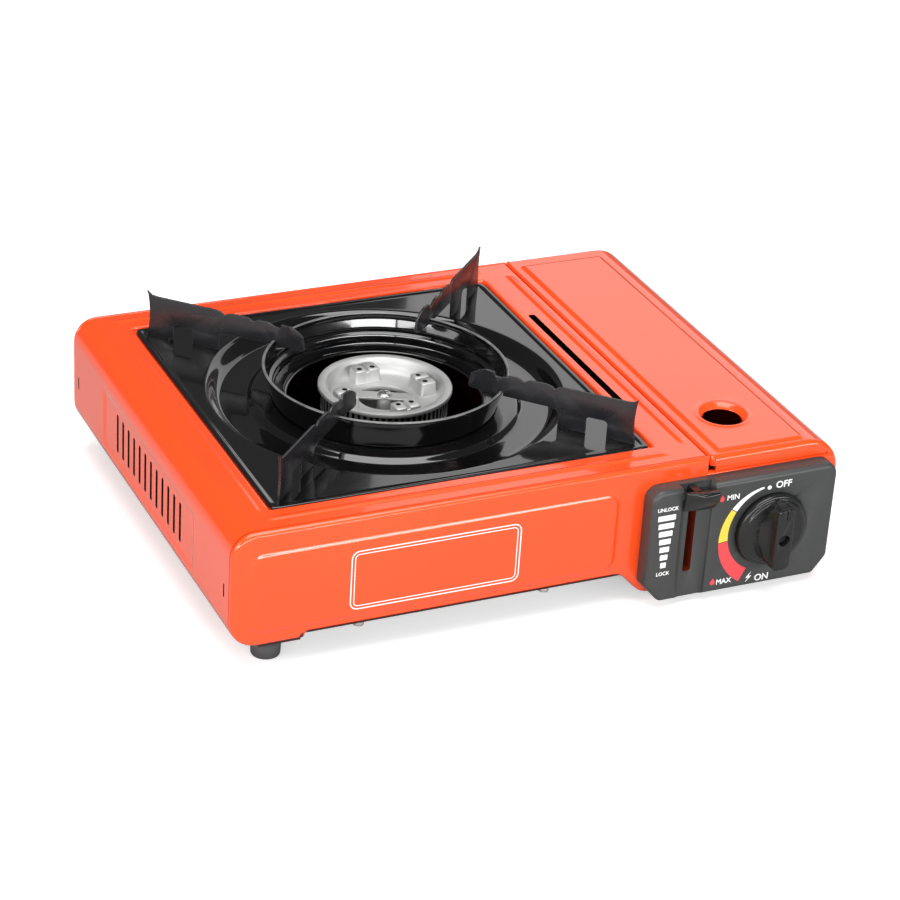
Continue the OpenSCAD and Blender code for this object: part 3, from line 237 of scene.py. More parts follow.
def full_turn(count):
    return [2 * math.pi * k / count for k in range(count)]


def turned(profile, axis, count):
    """Rings of a profile of radius and height, turned about an upright axis."""
    return [[(axis[0] + r * math.cos(a), axis[1] + r * math.sin(a), z) for a in full_turn(count)]
            for r, z in profile]


def turned_along_y(profile, x, z, count):
    """Rings of a profile of radius and Y, turned about an axis along Y."""
    return [[(x + r * math.cos(a), y, z + r * math.sin(a)) for a in full_turn(count)] for r, y in profile]


def about_burner(turns, r, z):
    """Points about the burner's axis at the given angles."""
    return [(TRAY_X + r * math.cos(a), TRAY_Y + r * math.sin(a), z) for a in turns]


def exact(place):
    """A mark for stations() that puts one station on an edge."""
    return (place, 0.01, 1.0)


def cut_marks(lo, hi, cut):
    """Marks for stations() at both ends of a hole whose corners are cut."""
    return [(lo + cut / 2, cut / 2, cut), (hi - cut / 2, cut / 2, cut)]


def stations(lo, hi, step, marks=()):
    """Places from lo to hi, every mark (place, half width, step) finer and at its exact ends."""
    places = {round(lo, 4), round(hi, 4)}
    count = max(1, round((hi - lo) / step))
    places.update(round(lo + (hi - lo) * i / count, 4) for i in range(count + 1))
    for middle, half, fine in marks:
        a, b = max(lo, middle - half), min(hi, middle + half)
        if b < a:
            continue
        places = {p for p in places if not a < p < b}
        n = max(1, round((b - a) / fine))
        places.update(round(a + (b - a) * i / n, 4) for i in range(n + 1))
    kept = []
    for p in sorted(places):
        if not kept or p - kept[-1] > 0.05:
            kept.append(p)
    return kept


def smooth(t):
    """Soft step from 0 to 1."""
    t = min(1.0, max(0.0, t))
    return t * t * (3 - 2 * t)


def bump(distance, half):
    """A soft round bead, 1 in its middle and 0 at its sides."""
    t = abs(distance) / half
    return (1 - t * t) ** 2 if t < 1 else 0.0


def between(value, lo, hi, ramp):
    """1 between lo and hi, with a soft ramp at both ends."""
    return smooth((value - lo) / ramp + 0.5) * smooth((hi - value) / ramp + 0.5)


def field(x, y, box, ramp):
    """1 inside a rectangular field, with soft sides."""
    return between(x, box[0], box[2], ramp) * between(y, box[1], box[3], ramp)


# Meshes

class Shape:
    """A mesh in the making, its points given in millimetres."""

    def __init__(self):
        self.bm = bmesh.new()

    def ring(self, points):
        return [self.bm.verts.new(Vector(p) * MM) for p in points]

    def bridge(self, a, b):
        n = len(a)
        for i in range(n):
            j = (i + 1) % n
            self.bm.faces.new((a[i], a[j], b[j], b[i]))

    def loft(self, rings):
        made = [self.ring(r) for r in rings]
        for a, b in zip(made, made[1:]):
            self.bridge(a, b)
        return made

    def cap(self, ring):
        self.bm.faces.new(ring)

    def solid(self, rings):
        """A loft with flat ends."""
        made = self.loft(rings)
        self.cap(made[0])
        self.cap(made[-1])
        return self

    def hoop(self, rings):
        """A loft whose last ring joins its first."""
        made = self.loft(rings)
        self.bridge(made[-1], made[0])
        return self

    def box(self, lo, hi):
        return self.solid([[(lo[0], lo[1], z), (hi[0], lo[1], z), (hi[0], hi[1], z), (lo[0], hi[1], z)]
                           for z in (lo[2], hi[2])])

    def prism(self, outline, y0, y1):
        """A solid of an outline in X and Z, from y0 to y1."""
        return self.solid([[(x, y, z) for x, z in outline] for y in (y0, y1)])

    def fill(self, *rings):
        """Flat faces inside the first ring and outside the others."""
        edges = []
        for r in rings:
            for i, v in enumerate(r):
                pair = (v, r[(i + 1) % len(r)])
                edges.append(self.bm.edges.get(pair) or self.bm.edges.new(pair))
        bmesh.ops.triangle_fill(self.bm, use_beauty=True, use_dissolve=False, edges=edges)

    def drop_loose(self):
        """Takes out the points inside holes, which no face uses."""
        loose = [v for v in self.bm.verts if not v.link_faces]
        bmesh.ops.delete(self.bm, geom=loose, context="VERTS")

    def mesh(self, name, inside=None, weld=0.01):
        """The finished mesh; with a point inside given, its faces look away from that point."""
        bmesh.ops.remove_doubles(self.bm, verts=self.bm.verts, dist=weld * MM)
        bmesh.ops.dissolve_degenerate(self.bm, edges=self.bm.edges, dist=0.001 * MM)
        bmesh.ops.recalc_face_normals(self.bm, faces=self.bm.faces)
        if inside is not None:
            point = Vector(inside) * MM
            side = sum((f.calc_center_median() - point).dot(f.normal) * f.calc_area() for f in self.bm.faces)
            if side < 0:
                bmesh.ops.reverse_faces(self.bm, faces=self.bm.faces)
        mesh = bpy.data.meshes.new(name)
        self.bm.to_mesh(mesh)
        self.bm.free()
        return mesh

    def piece(self, name, inside=None, weld=0.01):
        return placed(name, self.mesh(name, inside, weld))


def placed(name, data):
    obj = bpy.data.objects.new(name, data)
    bpy.context.scene.collection.objects.link(obj)
    return obj


def evaluated_mesh(obj):
    bpy.context.view_layer.update()
    return bpy.data.meshes.new_from_object(obj.evaluated_get(bpy.context.evaluated_depsgraph_get()))


def settle(obj):
    """Puts what the modifiers make into the piece's own mesh."""
    result = evaluated_mesh(obj)
    obj.modifiers.clear()
    obj.data = result
    result.name = obj.name


def thicken(obj, thickness=SHEET, shaded_inside=False):
    """Gives a sheet its thickness, on its inner side; that side and its cut edges can take darker red paint
    as painted shade.
    """
    if shaded_inside:
        obj.data.materials.append(FINISHES["red_paint"])
        obj.data.materials.append(FINISHES["inner_paint"])
    wall = obj.modifiers.new("wall", "SOLIDIFY")
    wall.material_offset = wall.material_offset_rim = 1 if shaded_inside else 0
    wall.thickness = thickness * MM
    wall.offset = -1
    settle(obj)


def soften(obj, width, angle, segments=2, finish_index=-1, harden=True):
    """Rounds the sharp edges of a piece; the rounded faces can take a finish of their own."""
    edge = obj.modifiers.new("edges", "BEVEL")
    edge.width = width * MM
    edge.segments = segments
    edge.limit_method = "ANGLE"
    edge.angle_limit = math.radians(angle)
    edge.use_clamp_overlap = True
    edge.material = finish_index
    edge.miter_outer = "MITER_ARC"
    edge.harden_normals = harden
    settle(obj)


def carve(obj, shape, operation="DIFFERENCE"):
    """Cuts a closed shape out of a piece, or joins it on."""
    tool = shape.piece("carving")
    cut = obj.modifiers.new("cut", "BOOLEAN")
    cut.operation = operation
    cut.solver = "EXACT"
    cut.object = tool
    settle(obj)
    bpy.data.objects.remove(tool)


def add_shape(obj, shape):
    """Adds a separate closed shape to a piece's mesh."""
    extra = shape.mesh("extra")
    whole = bmesh.new()
    whole.from_mesh(obj.data)
    whole.from_mesh(extra)
    whole.to_mesh(obj.data)
    whole.free()
    bpy.data.meshes.remove(extra)


def mark_faces(obj, test):
    """Marks the faces whose middle passes a test, for the piece's second finish."""
    for face in obj.data.polygons:
        face.material_index = 1 if test(*(c / MM for c in face.center)) else 0


def finish_piece(obj, coat, body, replaces=(), angle=38, second=None, flat=False):
    """Shades a piece, gives it its finish, or two for marked faces, and sets it on its body."""
    marked = [polygon.material_index == 1 for polygon in obj.data.polygons]
    obj.data.materials.clear()
    obj.data.materials.append(FINISHES[coat])
    if second:
        obj.data.materials.append(FINISHES[second])
    for polygon, mark in zip(obj.data.polygons, marked):
        polygon.use_smooth = mark or not flat
        polygon.material_index = 1 if mark and second else 0
    obj.data.set_sharp_from_angle(angle=math.radians(angle))
    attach(obj, body)
    if replaces:
        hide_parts(*replaces)


# Finishes

FINISHES = {}


def add(tree, kind, inputs=(), **settings):
    """A node with its settings and its plain input values."""
    node = tree.nodes.new(kind)
    for key, value in settings.items():
        setattr(node, key, value)
    for key, value in dict(inputs).items():
        node.inputs[key].default_value = value
    return node


def wire(tree, *links):
    """Joins nodes; a link is a node, its output, the next node and that one's input."""
    for source, output, target, entry in links:
        tree.links.new(source.outputs[output], target.inputs[entry])


def new_group(name, inputs, outputs):
    """A shader node group with named values, and its two end nodes."""
    group = bpy.data.node_groups.new(name, "ShaderNodeTree")
    for socket, value in inputs.items():
        made = group.interface.new_socket(name=socket, in_out="INPUT", socket_type="NodeSocketFloat")
        made.default_value = value
    for socket in outputs:
        group.interface.new_socket(name=socket, in_out="OUTPUT", socket_type="NodeSocketFloat")
    return group, add(group, "NodeGroupInput"), add(group, "NodeGroupOutput")


def mottle_group():
    """Slow and fine unevenness of a surface, and the slow one spread between two values."""
    group, start, end = new_group("Surface Mottle",
                                  {"Slow Scale": 20.0, "Fine Scale": 400.0, "Low": 0.2, "High": 0.4},
                                  ("Value", "Slow", "Fine"))
    place = add(group, "ShaderNodeTexCoord")
    slow = add(group, "ShaderNodeTexNoise", {"Detail": 3.0, "Roughness": 0.55})
    fine = add(group, "ShaderNodeTexNoise", {"Detail": 2.0, "Roughness": 0.5})
    spread = add(group, "ShaderNodeMapRange", {"From Min": 0.3, "From Max": 0.7})
    wire(group, (place, "Object", slow, "Vector"), (place, "Object", fine, "Vector"),
         (start, "Slow Scale", slow, "Scale"), (start, "Fine Scale", fine, "Scale"),
         (slow, "Fac", spread, "Value"), (start, "Low", spread, "To Min"), (start, "High", spread, "To Max"),
         (spread, "Result", end, "Value"), (slow, "Fac", end, "Slow"), (fine, "Fac", end, "Fine"))


def wear_group():
    """Bare or rubbed places along outer edges, broken up by noise."""
    group, start, end = new_group("Edge Wear",
                                  {"Start": 0.53, "Full": 0.6, "Break Scale": 160.0, "Amount": 1.0},
                                  ("Mask",))
    shape = add(group, "ShaderNodeNewGeometry")
    place = add(group, "ShaderNodeTexCoord")
    edge = add(group, "ShaderNodeMapRange")
    broken = add(group, "ShaderNodeTexNoise", {"Detail": 4.0, "Roughness": 0.6})
    patch = add(group, "ShaderNodeMapRange", {"From Min": 0.42, "From Max": 0.6})
    both = add(group, "ShaderNodeMath", operation="MULTIPLY")
    amount = add(group, "ShaderNodeMath", operation="MULTIPLY")
    wire(group, (shape, "Pointiness", edge, "Value"), (start, "Start", edge, "From Min"),
         (start, "Full", edge, "From Max"), (place, "Object", broken, "Vector"),
         (start, "Break Scale", broken, "Scale"), (broken, "Fac", patch, "Value"),
         (edge, "Result", both, 0), (patch, "Result", both, 1),
         (both, "Value", amount, 0), (start, "Amount", amount, 1), (amount, "Value", end, "Mask"))


def speck_group():
    """Small scattered specks, such as dust or grains in enamel."""
    group, start, end = new_group("Specks", {"Scale": 500.0, "Size": 0.12}, ("Mask",))
    place = add(group, "ShaderNodeTexCoord")
    cells = add(group, "ShaderNodeTexVoronoi", {"Randomness": 1.0})
    inner = add(group, "ShaderNodeMath", operation="LESS_THAN")
    wire(group, (place, "Object", cells, "Vector"), (start, "Scale", cells, "Scale"),
         (cells, "Distance", inner, 0), (start, "Size", inner, 1), (inner, "Value", end, "Mask"))


def tone(rgb, factor):
    """A lighter or darker colour, with its alpha."""
    return tuple(min(1.0, c * factor) for c in rgb[:3]) + (1.0,)


def finish(name, base, slow, fine, rough, shade, relief, wear=None, specks=None, stretch=None, shaded_inside=None,
           **shader):
    """A finish whose colour, roughness and bump change over the surface.

    Slow and fine are the scales of its mottle, rough its least and greatest roughness, shade its darkest
    share of the base colour and relief the height of its bump in mm. Wear and specks are a colour and the
    values of their group. A shaded inside is a place on X, in mm, and a darker colour painted to the left of
    it as painted shade. Other values go to the shader's sockets of that name.
    """
    material = bpy.data.materials.new(name)
    material.use_nodes = True
    tree = material.node_tree
    surface = tree.nodes["Principled BSDF"]
    for key, value in shader.items():
        surface.inputs[key.replace("_", " ").title().replace("Ior", "IOR")].default_value = value
    mottle = add(tree, "ShaderNodeGroup", node_tree=bpy.data.node_groups["Surface Mottle"])
    for key, value in (("Slow Scale", slow), ("Fine Scale", fine), ("Low", rough[0]), ("High", rough[1])):
        mottle.inputs[key].default_value = value
    top = add(tree, "ShaderNodeMix", {"A": tone(base, shade), "B": tone(base, 2 - shade)}, data_type="RGBA")
    wire(tree, (mottle, "Slow", top, "Factor"), (mottle, "Value", surface, "Roughness"))
    for group, values in (("Edge Wear", wear), ("Specks", specks)):
        if values:
            mask = add(tree, "ShaderNodeGroup", node_tree=bpy.data.node_groups[group])
            for key, value in values[1].items():
                mask.inputs[key].default_value = value
            over = add(tree, "ShaderNodeMix", {"B": values[0]}, data_type="RGBA")
            wire(tree, (top, "Result", over, "A"), (mask, "Mask", over, "Factor"))
            top = over
    # Left of the given X the colour turns darker: painted shade inside the bay
    if shaded_inside:
        place = add(tree, "ShaderNodeTexCoord")
        parts = add(tree, "ShaderNodeSeparateXYZ")
        side = add(tree, "ShaderNodeMath", {1: shaded_inside[0] * MM}, operation="LESS_THAN")
        over = add(tree, "ShaderNodeMix", {"B": shaded_inside[1]}, data_type="RGBA")
        wire(tree, (place, "Object", parts, "Vector"), (parts, "X", side, 0), (side, "Value", over, "Factor"),
             (top, "Result", over, "A"))
        top = over
    wire(tree, (top, "Result", surface, "Base Color"))
    if relief:
        raised = add(tree, "ShaderNodeBump", {"Strength": 1.0, "Distance": relief * MM})
        height = (mottle, "Fine")
        if stretch:
            place = add(tree, "ShaderNodeTexCoord")
            scaled = add(tree, "ShaderNodeMapping", {"Scale": stretch})
            lines = add(tree, "ShaderNodeTexNoise", {"Scale": fine, "Detail": 2.0})
            wire(tree, (place, "Object", scaled, "Vector"), (scaled, "Vector", lines, "Vector"))
            height = (lines, "Fac")
        wire(tree, (*height, raised, "Height"), (raised, "Normal", surface, "Normal"))
    FINISHES[name] = material
    return material


class StoveFinishes(bpy.types.Operator):
    """Make the node groups and the finishes"""
    bl_idname = "stove.finishes"
    bl_label = "Finishes"

    def execute(self, context):
        mottle_group()
        wear_group()
        speck_group()
        c = context.scene.stove_colours
        gloss = {"coat_weight": 0.7, "coat_roughness": 0.05, "specular_ior_level": 0.35}
        finish("red_paint", c.paint, 14, 900, (0.2, 0.28), 0.96, 0.0022, **gloss,
               specks=(tone(c.paint, 0.75), {"Scale": 190.0, "Size": 0.05}))
        # The bay pan's red turns dark left of its outer wall: painted shade inside the bay
        finish("bay_paint", c.paint, 14, 900, (0.2, 0.28), 0.96, 0.0022, **gloss,
               shaded_inside=(PAN_HI[0] - 2.0, tone(c.paint, 0.12)))
        # Red paint darkened to 3 percent: painted shade on inner sides, cut edges, hidden flanges and the
        # base plate
        finish("inner_paint", tone(c.paint, 0.03), 20, 500, (0.4, 0.6), 0.85, 0.004)
        # Red paint darkened to 13 percent, put on the walls of the lever's slot: painted shade of the red
        # inside seen through it
        finish("slot_paint", tone(c.paint, 0.13), 20, 500, (0.4, 0.6), 0.85, 0.004)
        finish("black_enamel", c.enamel, 26, 55, (0.06, 0.14), 0.8, 0.045, coat_weight=0.6,
               coat_roughness=0.03, specks=((0.04, 0.04, 0.04, 1.0), {"Scale": 260.0, "Size": 0.045}))
        finish("support_enamel", tone(c.enamel, 4.5), 60, 300, (0.24, 0.36), 0.85, 0.008,
               specular_ior_level=0.5)
        # Light grey on rounded edges: rubbed wear and painted highlight on the supports, painted highlight on
        # the ring's rim
        finish("rubbed_enamel", (0.14, 0.14, 0.14), 110, 500, (0.25, 0.4), 0.15, 0.01, coat_weight=0.5)
        finish("dark_plastic", c.panel, 30, 1500, (0.36, 0.46), 0.93, 0.01, specular_ior_level=0.45)
        finish("gloss_plastic", c.knob, 40, 1300, (0.2, 0.3), 0.9, 0.006,
               wear=((0.12, 0.12, 0.12, 1.0),
                     {"Start": 0.55, "Full": 0.7, "Break Scale": 200.0, "Amount": 0.12}))
        finish("cast_alloy", c.alloy, 60, 700, (0.5, 0.68), 0.92, 0.02, metallic=0.9)
        finish("zinc_steel", c.zinc, 30, 300, (0.26, 0.4), 0.9, 0.004, metallic=1.0, stretch=(1, 8, 8))
        finish("brass", c.brass, 40, 500, (0.2, 0.34), 0.9, 0.004, metallic=1.0)
        finish("copper", c.copper, 30, 400, (0.22, 0.38), 0.82, 0.004, metallic=1.0)
        finish("rubber", c.rubber, 60, 900, (0.6, 0.75), 0.85, 0.02)
        finish("ceramic", c.ceramic, 60, 700, (0.35, 0.5), 0.95, 0.006)
        # Near black put in the burner's ports and pits and on the knob's screw: painted shade of these
        # hollows
        finish("soot", (0.008, 0.008, 0.008), 60, 500, (0.6, 0.8), 0.8, 0.01)
        for name in ("print_white", "print_yellow", "print_red"):
            finish(name, getattr(c, name), 150, 1600, (0.35, 0.45), 0.96, 0.003)
        return {"FINISHED"}


# End panels

def end_outline():
    """Outline of the end panels in X and Z, with the soft drop from the burner box to the bay."""
    low, top = body_size("lower_radius"), body_size("edge_radius")
    bay, lid = body_size("bay_radius"), body_size("lid_edge_radius")
    drop_run, steps, edge = 20.0, 12, BOX_FLOOR + 1.3
    split, seam = LID_SPLIT - 0.4, (SEAM_LEFT + SEAM_RIGHT) / 2
    lid_end = math.degrees(math.asin((split - DECK + lid) / lid))
    drop = [(BAY_LEFT - drop_run * (1 - i / steps),
             edge - (edge - BAY_FLOOR) * (1 - math.cos(math.pi * i / steps)) / 2)
            for i in range(steps + 1)]
    tab = [(LEFT + 38.6, CORNER_FLOOR), (LEFT + 39.6, CORNER_FLOOR + 0.4), (LEFT + 40.0, CORNER_FLOOR + 1.2),
           (LEFT + 40.3, edge - 0.8), (LEFT + 41.2, edge)]
    return (arc(LEFT + low, CORNER_FLOOR + low, low, 180, 270) + tab + drop
            + arc(RIGHT - bay, BAY_FLOOR + bay, bay, 270, 360)
            + arc(RIGHT - lid, DECK - lid, lid, 0, lid_end, 6) + [(seam, split), (seam, DECK)]
            + arc(LEFT + top, DECK - top, top, 90, 180))


def pressed_end(name, y_at, field_box, rise, ramp, holes=()):
    """An end panel with a round rim and a pressed field; y_at turns a depth behind the face into Y."""
    outline, field_corner, steps = end_outline(), 8.0, 7
    shape = Shape()
    sides = [(RIM_DEPTH + 0.1, 0.9), (RIM_DEPTH - 0.35, 0.35), (RIM_DEPTH - 0.7, 0.0)]
    sides += rounding(body_size("rim_radius"))
    rim = shape.loft([[(x, y_at(depth), z) for x, z in inset(outline, d)] for depth, d in sides])
    ramps = [(ramp * i / steps, rise * smooth(i / steps)) for i in range(steps + 1)]
    field_edge = round_rect(*field_box, field_corner)
    pressed = shape.loft([[(x, y_at(-up), z) for x, z in inset(field_edge, d)] for d, up in ramps])
    cuts = [shape.ring([(x, y_at(0.0), z) for x, z in hole]) for hole in holes]
    shape.fill(rim[-1], pressed[0], *cuts)
    shape.fill(pressed[-1])
    obj = shape.piece(name, inside=(0.0, y_at(60.0), INSIDE_Z))
    # The inner side and cut edges take the darker red: painted shade
    thicken(obj, shaded_inside=True)
    bottom_flange = (LEFT + 42.0, 0.4, BOX_FLOOR + 1.4), (BAY_LEFT - 21.0, 9.0, BOX_FLOOR + 2.2)
    side_tab = (LEFT + SHEET, 1.2, 29.0), (LEFT + 2 * SHEET, 16.0, 61.0)
    flange = Shape()
    for lo, hi in (bottom_flange, side_tab):
        near, far = sorted((y_at(lo[1]), y_at(hi[1])))
        flange.box((lo[0], near, lo[2]), (hi[0], far, hi[2]))
    # The hidden flanges take the darker red: painted shade
    for face in flange.bm.faces:
        face.material_index = 1
    add_shape(obj, flange)
    return obj


class StoveEndPanels(bpy.types.Operator):
    """Press the front and the rear panel"""
    bl_idname = "stove.end_panels"
    bl_label = "End panels"

    def execute(self, context):
        gap, spindle_bore = 0.4, 3.8
        slot = round_rect(LEVER_X - SLOT_HALF - gap, SLOT_FOOT - gap, LEVER_X + SLOT_HALF + gap,
                          LEVER_HI[2] - 0.2, 0.7, 3)
        eye = arc(KNOB_X, KNOB_Z, spindle_bore, 0, 345, 23)
        front_box = (LEFT + 8.0, BOX_FLOOR + 5.2, BAY_LEFT - 21.0, DECK - 10.5)
        rear_box = (LEFT + 13.0, BOX_FLOOR + 6.0, RIGHT - 13.0, LID_SPLIT - 6.0)
        front = pressed_end("front_panel_pressing", lambda d: FRONT + d, front_box, body_size("field_rise"),
                            3.4, (slot, eye))
        rear = pressed_end("rear_panel_pressing", lambda d: REAR - d, rear_box, -0.7, 3.0)
        for obj, node in ((front, "front_panel"), (rear, "rear_panel")):
            # Inner side, cut edges and flanges take the darker red: painted shade
            finish_piece(obj, "red_paint", "housing", (node,), second="inner_paint")
        return {"FINISHED"}


# Bent sheets: a section in X and Z, run along Y

class Station:
    """A place on a sheet's section, the way out of the sheet there and the part that it belongs to."""

    def __init__(self, x, z, out_x, out_z, part):
        self.x, self.z, self.out_x, self.out_z, self.part = x, z, out_x, out_z, part


def bend(x, z, r, a0, a1, n):
    """Stations round a bend, its middle at x and z."""
    return [Station(px, pz, (px - x) / r, (pz - z) / r, "edge") for px, pz in arc(x, z, r, a0, a1, n)]


def sheet_grid(shape, us, vs, lift):
    """Points at every station and every Y, lifted off the plain sheet."""
    return [shape.ring([(u.x + u.out_x * lift(u, y), y, u.z + u.out_z * lift(u, y)) for y in vs]) for u in us]


def hole_cell(u0, u1, v0, v1, holes):
    """None outside all holes, "open" inside one, or the corner of a hole that the cell lies in."""
    u, v = (u0 + u1) / 2, (v0 + v1) / 2
    for a0, a1, b0, b1, cut in holes:
        if a0 < u < a1 and b0 < v < b1:
            near_u = 0 if u < a0 + cut else (1 if u > a1 - cut else None)
            near_v = 0 if v < b0 + cut else (1 if v > b1 - cut else None)
            return (near_u, near_v) if near_u is not None and near_v is not None else "open"
    return None


def grid_faces(shape, grid, holes_at):
    """Faces of a grid of points, without its holes and with cut hole corners."""
    for i in range(len(grid) - 1):
        for j in range(len(grid[0]) - 1):
            corners = {(a, b): grid[i + a][j + b] for a, b in ((0, 0), (1, 0), (1, 1), (0, 1))}
            kind = holes_at(i, j)
            if kind == "open":
                continue
            if kind is not None:
                del corners[(1 - kind[0], 1 - kind[1])]
            shape.bm.faces.new(list(corners.values()))


def hole_edge(grid, us, vs, part, hole):
    """The grid's points round a hole in X and Y, once round."""
    near = 0.05
    rows = [k for k, u in enumerate(us) if hole[0] - near < u.x < hole[1] + near and u.part == part]
    columns = [k for k, v in enumerate(vs) if hole[2] - near < v < hole[3] + near]
    walk = ([(i, columns[0]) for i in rows] + [(rows[-1], j) for j in columns[1:]]
            + [(i, columns[-1]) for i in reversed(rows[:-1])]
            + [(rows[0], j) for j in reversed(columns[1:-1])])
    return [grid[i][j] for i, j in walk]


# Wrapper: holes are a span along the section, a span along Y and the cut of their corners

SEAM_R, SHELL_WALL, WELL_GAP, END_ZONE = 1.6, 0.5, 2.1, 6.0
WELL_HALF = TRAY_HALF + WELL_GAP
WELL = (TRAY_X - WELL_HALF, TRAY_X + WELL_HALF, TRAY_Y - WELL_HALF, TRAY_Y + WELL_HALF, 0.0)
DECK_SLOT_X = TRAY_X + TRAY_HALF + (SEAM_LEFT - TRAY_X - TRAY_HALF) / 3
DECK_SLOT_HALF, DECK_SLOT_REACH, DECK_SLOT_CUT = 2.1, 56.0, 1.0
DECK_SLOT = (DECK_SLOT_X - DECK_SLOT_HALF, DECK_SLOT_X + DECK_SLOT_HALF,
             TRAY_Y - DECK_SLOT_REACH, TRAY_Y + DECK_SLOT_REACH, DECK_SLOT_CUT)
VENT_Z, VENT_CUT = DECK - 33.0, 0.75
VENT_FIELD_DEPTH, VENT_FIELD_RAMP, VENT_FIELD_PAST, VENT_FIELD_OVER = 0.7, 4.4, 21.0, 4.5
TAB_Z, TAB_HALF_H, TAB_HALF_W, TAB_FROM_END = DECK - 35.0, 3.6, 0.8, 11.0
TAB_HOLES = [(TAB_Z - TAB_HALF_H, TAB_Z + TAB_HALF_H, y - TAB_HALF_W, y + TAB_HALF_W, 0.0)
             for y in (FRONT + TAB_FROM_END, REAR - TAB_FROM_END)]
FRONT_BEAD, REAR_BEAD, LEFT_BEAD, SEAM_BEAD = FRONT + 12.5, REAR - 12.0, LEFT + 20.0, SEAM_LEFT - 5.6
BEAD_HALF, LEFT_BEAD_HALF, LEFT_BEAD_SHARE, BEAD_END, BEAD_RAMP = 2.6, 3.2, 0.4, 22.0, 6.0


def vent_holes():
    """The vent slots in the left wall, and the box of the pressed field round them in Z and Y."""
    count, pitch = bpy.context.scene.stove_body.vent_count, body_size("vent_pitch")
    half_w, half_l = body_size("vent_width") / 2, body_size("vent_length") / 2
    middles = [TRAY_Y + (i - (count - 1) / 2) * pitch for i in range(count)]
    holes = [(VENT_Z - half_l, VENT_Z + half_l, y - half_w, y + half_w, VENT_CUT) for y in middles]
    reach, over = (count - 1) * pitch / 2 + VENT_FIELD_PAST, half_l + VENT_FIELD_OVER
    return holes, (VENT_Z - over, TRAY_Y - reach, VENT_Z + over, TRAY_Y + reach)


def shell_section(vents, vent_field):
    """Stations of the wrapper, from the lip under its left edge over the deck to the lid's seam."""
    low, top = body_size("lower_radius"), body_size("edge_radius")
    us = [Station(x, CORNER_FLOOR, 0, -1, "lip") for x in (LEFT + low + 3.0, LEFT + low + 1.0)]
    us += bend(LEFT + low, CORNER_FLOOR + low, low, 270, 180, 10)
    marks = cut_marks(*vents[0][:2], VENT_CUT) + [(vent_field[0], 2.4, 0.6), (vent_field[2], 2.4, 0.6)]
    marks += [exact(z) for z in TAB_HOLES[0][:2]]
    wall = stations(CORNER_FLOOR + low + 0.5, DECK - top - 0.5, 3.0, marks)
    us += [Station(LEFT, z, -1, 0, "wall") for z in wall]
    us += bend(LEFT + top, DECK - top, top, 180, 90, 12)
    marks = [(LEFT_BEAD, 3.4, 0.5), exact(WELL[0]), exact(WELL[1])]
    marks += cut_marks(*DECK_SLOT[:2], DECK_SLOT_CUT) + [(SEAM_BEAD, 3.2, 0.4)]
    deck = stations(LEFT + top + 0.8, SEAM_LEFT - SEAM_R - 0.4, 5.0, marks)
    us += [Station(x, DECK, 0, 1, "deck") for x in deck]
    us += bend(SEAM_LEFT - SEAM_R, DECK - SEAM_R, SEAM_R, 90, 0, 5)
    return us + [Station(SEAM_LEFT, DECK - 10.0, 1, 0, "edge")]


def shell_rows(vents, vent_field):
    """Places along Y of the wrapper's grid."""
    marks = [(FRONT_BEAD, 3.4, 0.5), (REAR_BEAD, 3.4, 0.5), exact(WELL[2]), exact(WELL[3])]
    marks += cut_marks(*DECK_SLOT[2:4], DECK_SLOT_CUT)
    marks += [exact(y) for hole in vents for y in hole[2:4]]
    marks += [exact(y) for hole in vents for y in (hole[2] + VENT_CUT, hole[3] - VENT_CUT)]
    marks += [exact(y) for hole in TAB_HOLES for y in hole[2:4]]
    marks += [(vent_field[1], 2.2, 0.55), (vent_field[3], 2.2, 0.55)]
    return stations(FRONT + RIM_DEPTH + 0.25, REAR - RIM_DEPTH - 0.25, 5.0, marks)


def well_flange(shape, ring):
    """The turned-down flange and ledge that the tray lies in, from the points round the deck's opening."""
    start = [(v.co.x / MM, v.co.y / MM) for v in ring]
    for d, drop in ((0.35, 0.08), (0.7, 0.32), (0.95, 0.7), (1.1, 1.2), (1.1, 2.0), (9.0, 2.0)):
        points = [(min(max(x, WELL[0] + d), WELL[1] - d), min(max(y, WELL[2] + d), WELL[3] - d), DECK - drop)
                  for x, y in start]
        made = shape.ring(points)
        shape.bridge(ring, made)
        ring = made


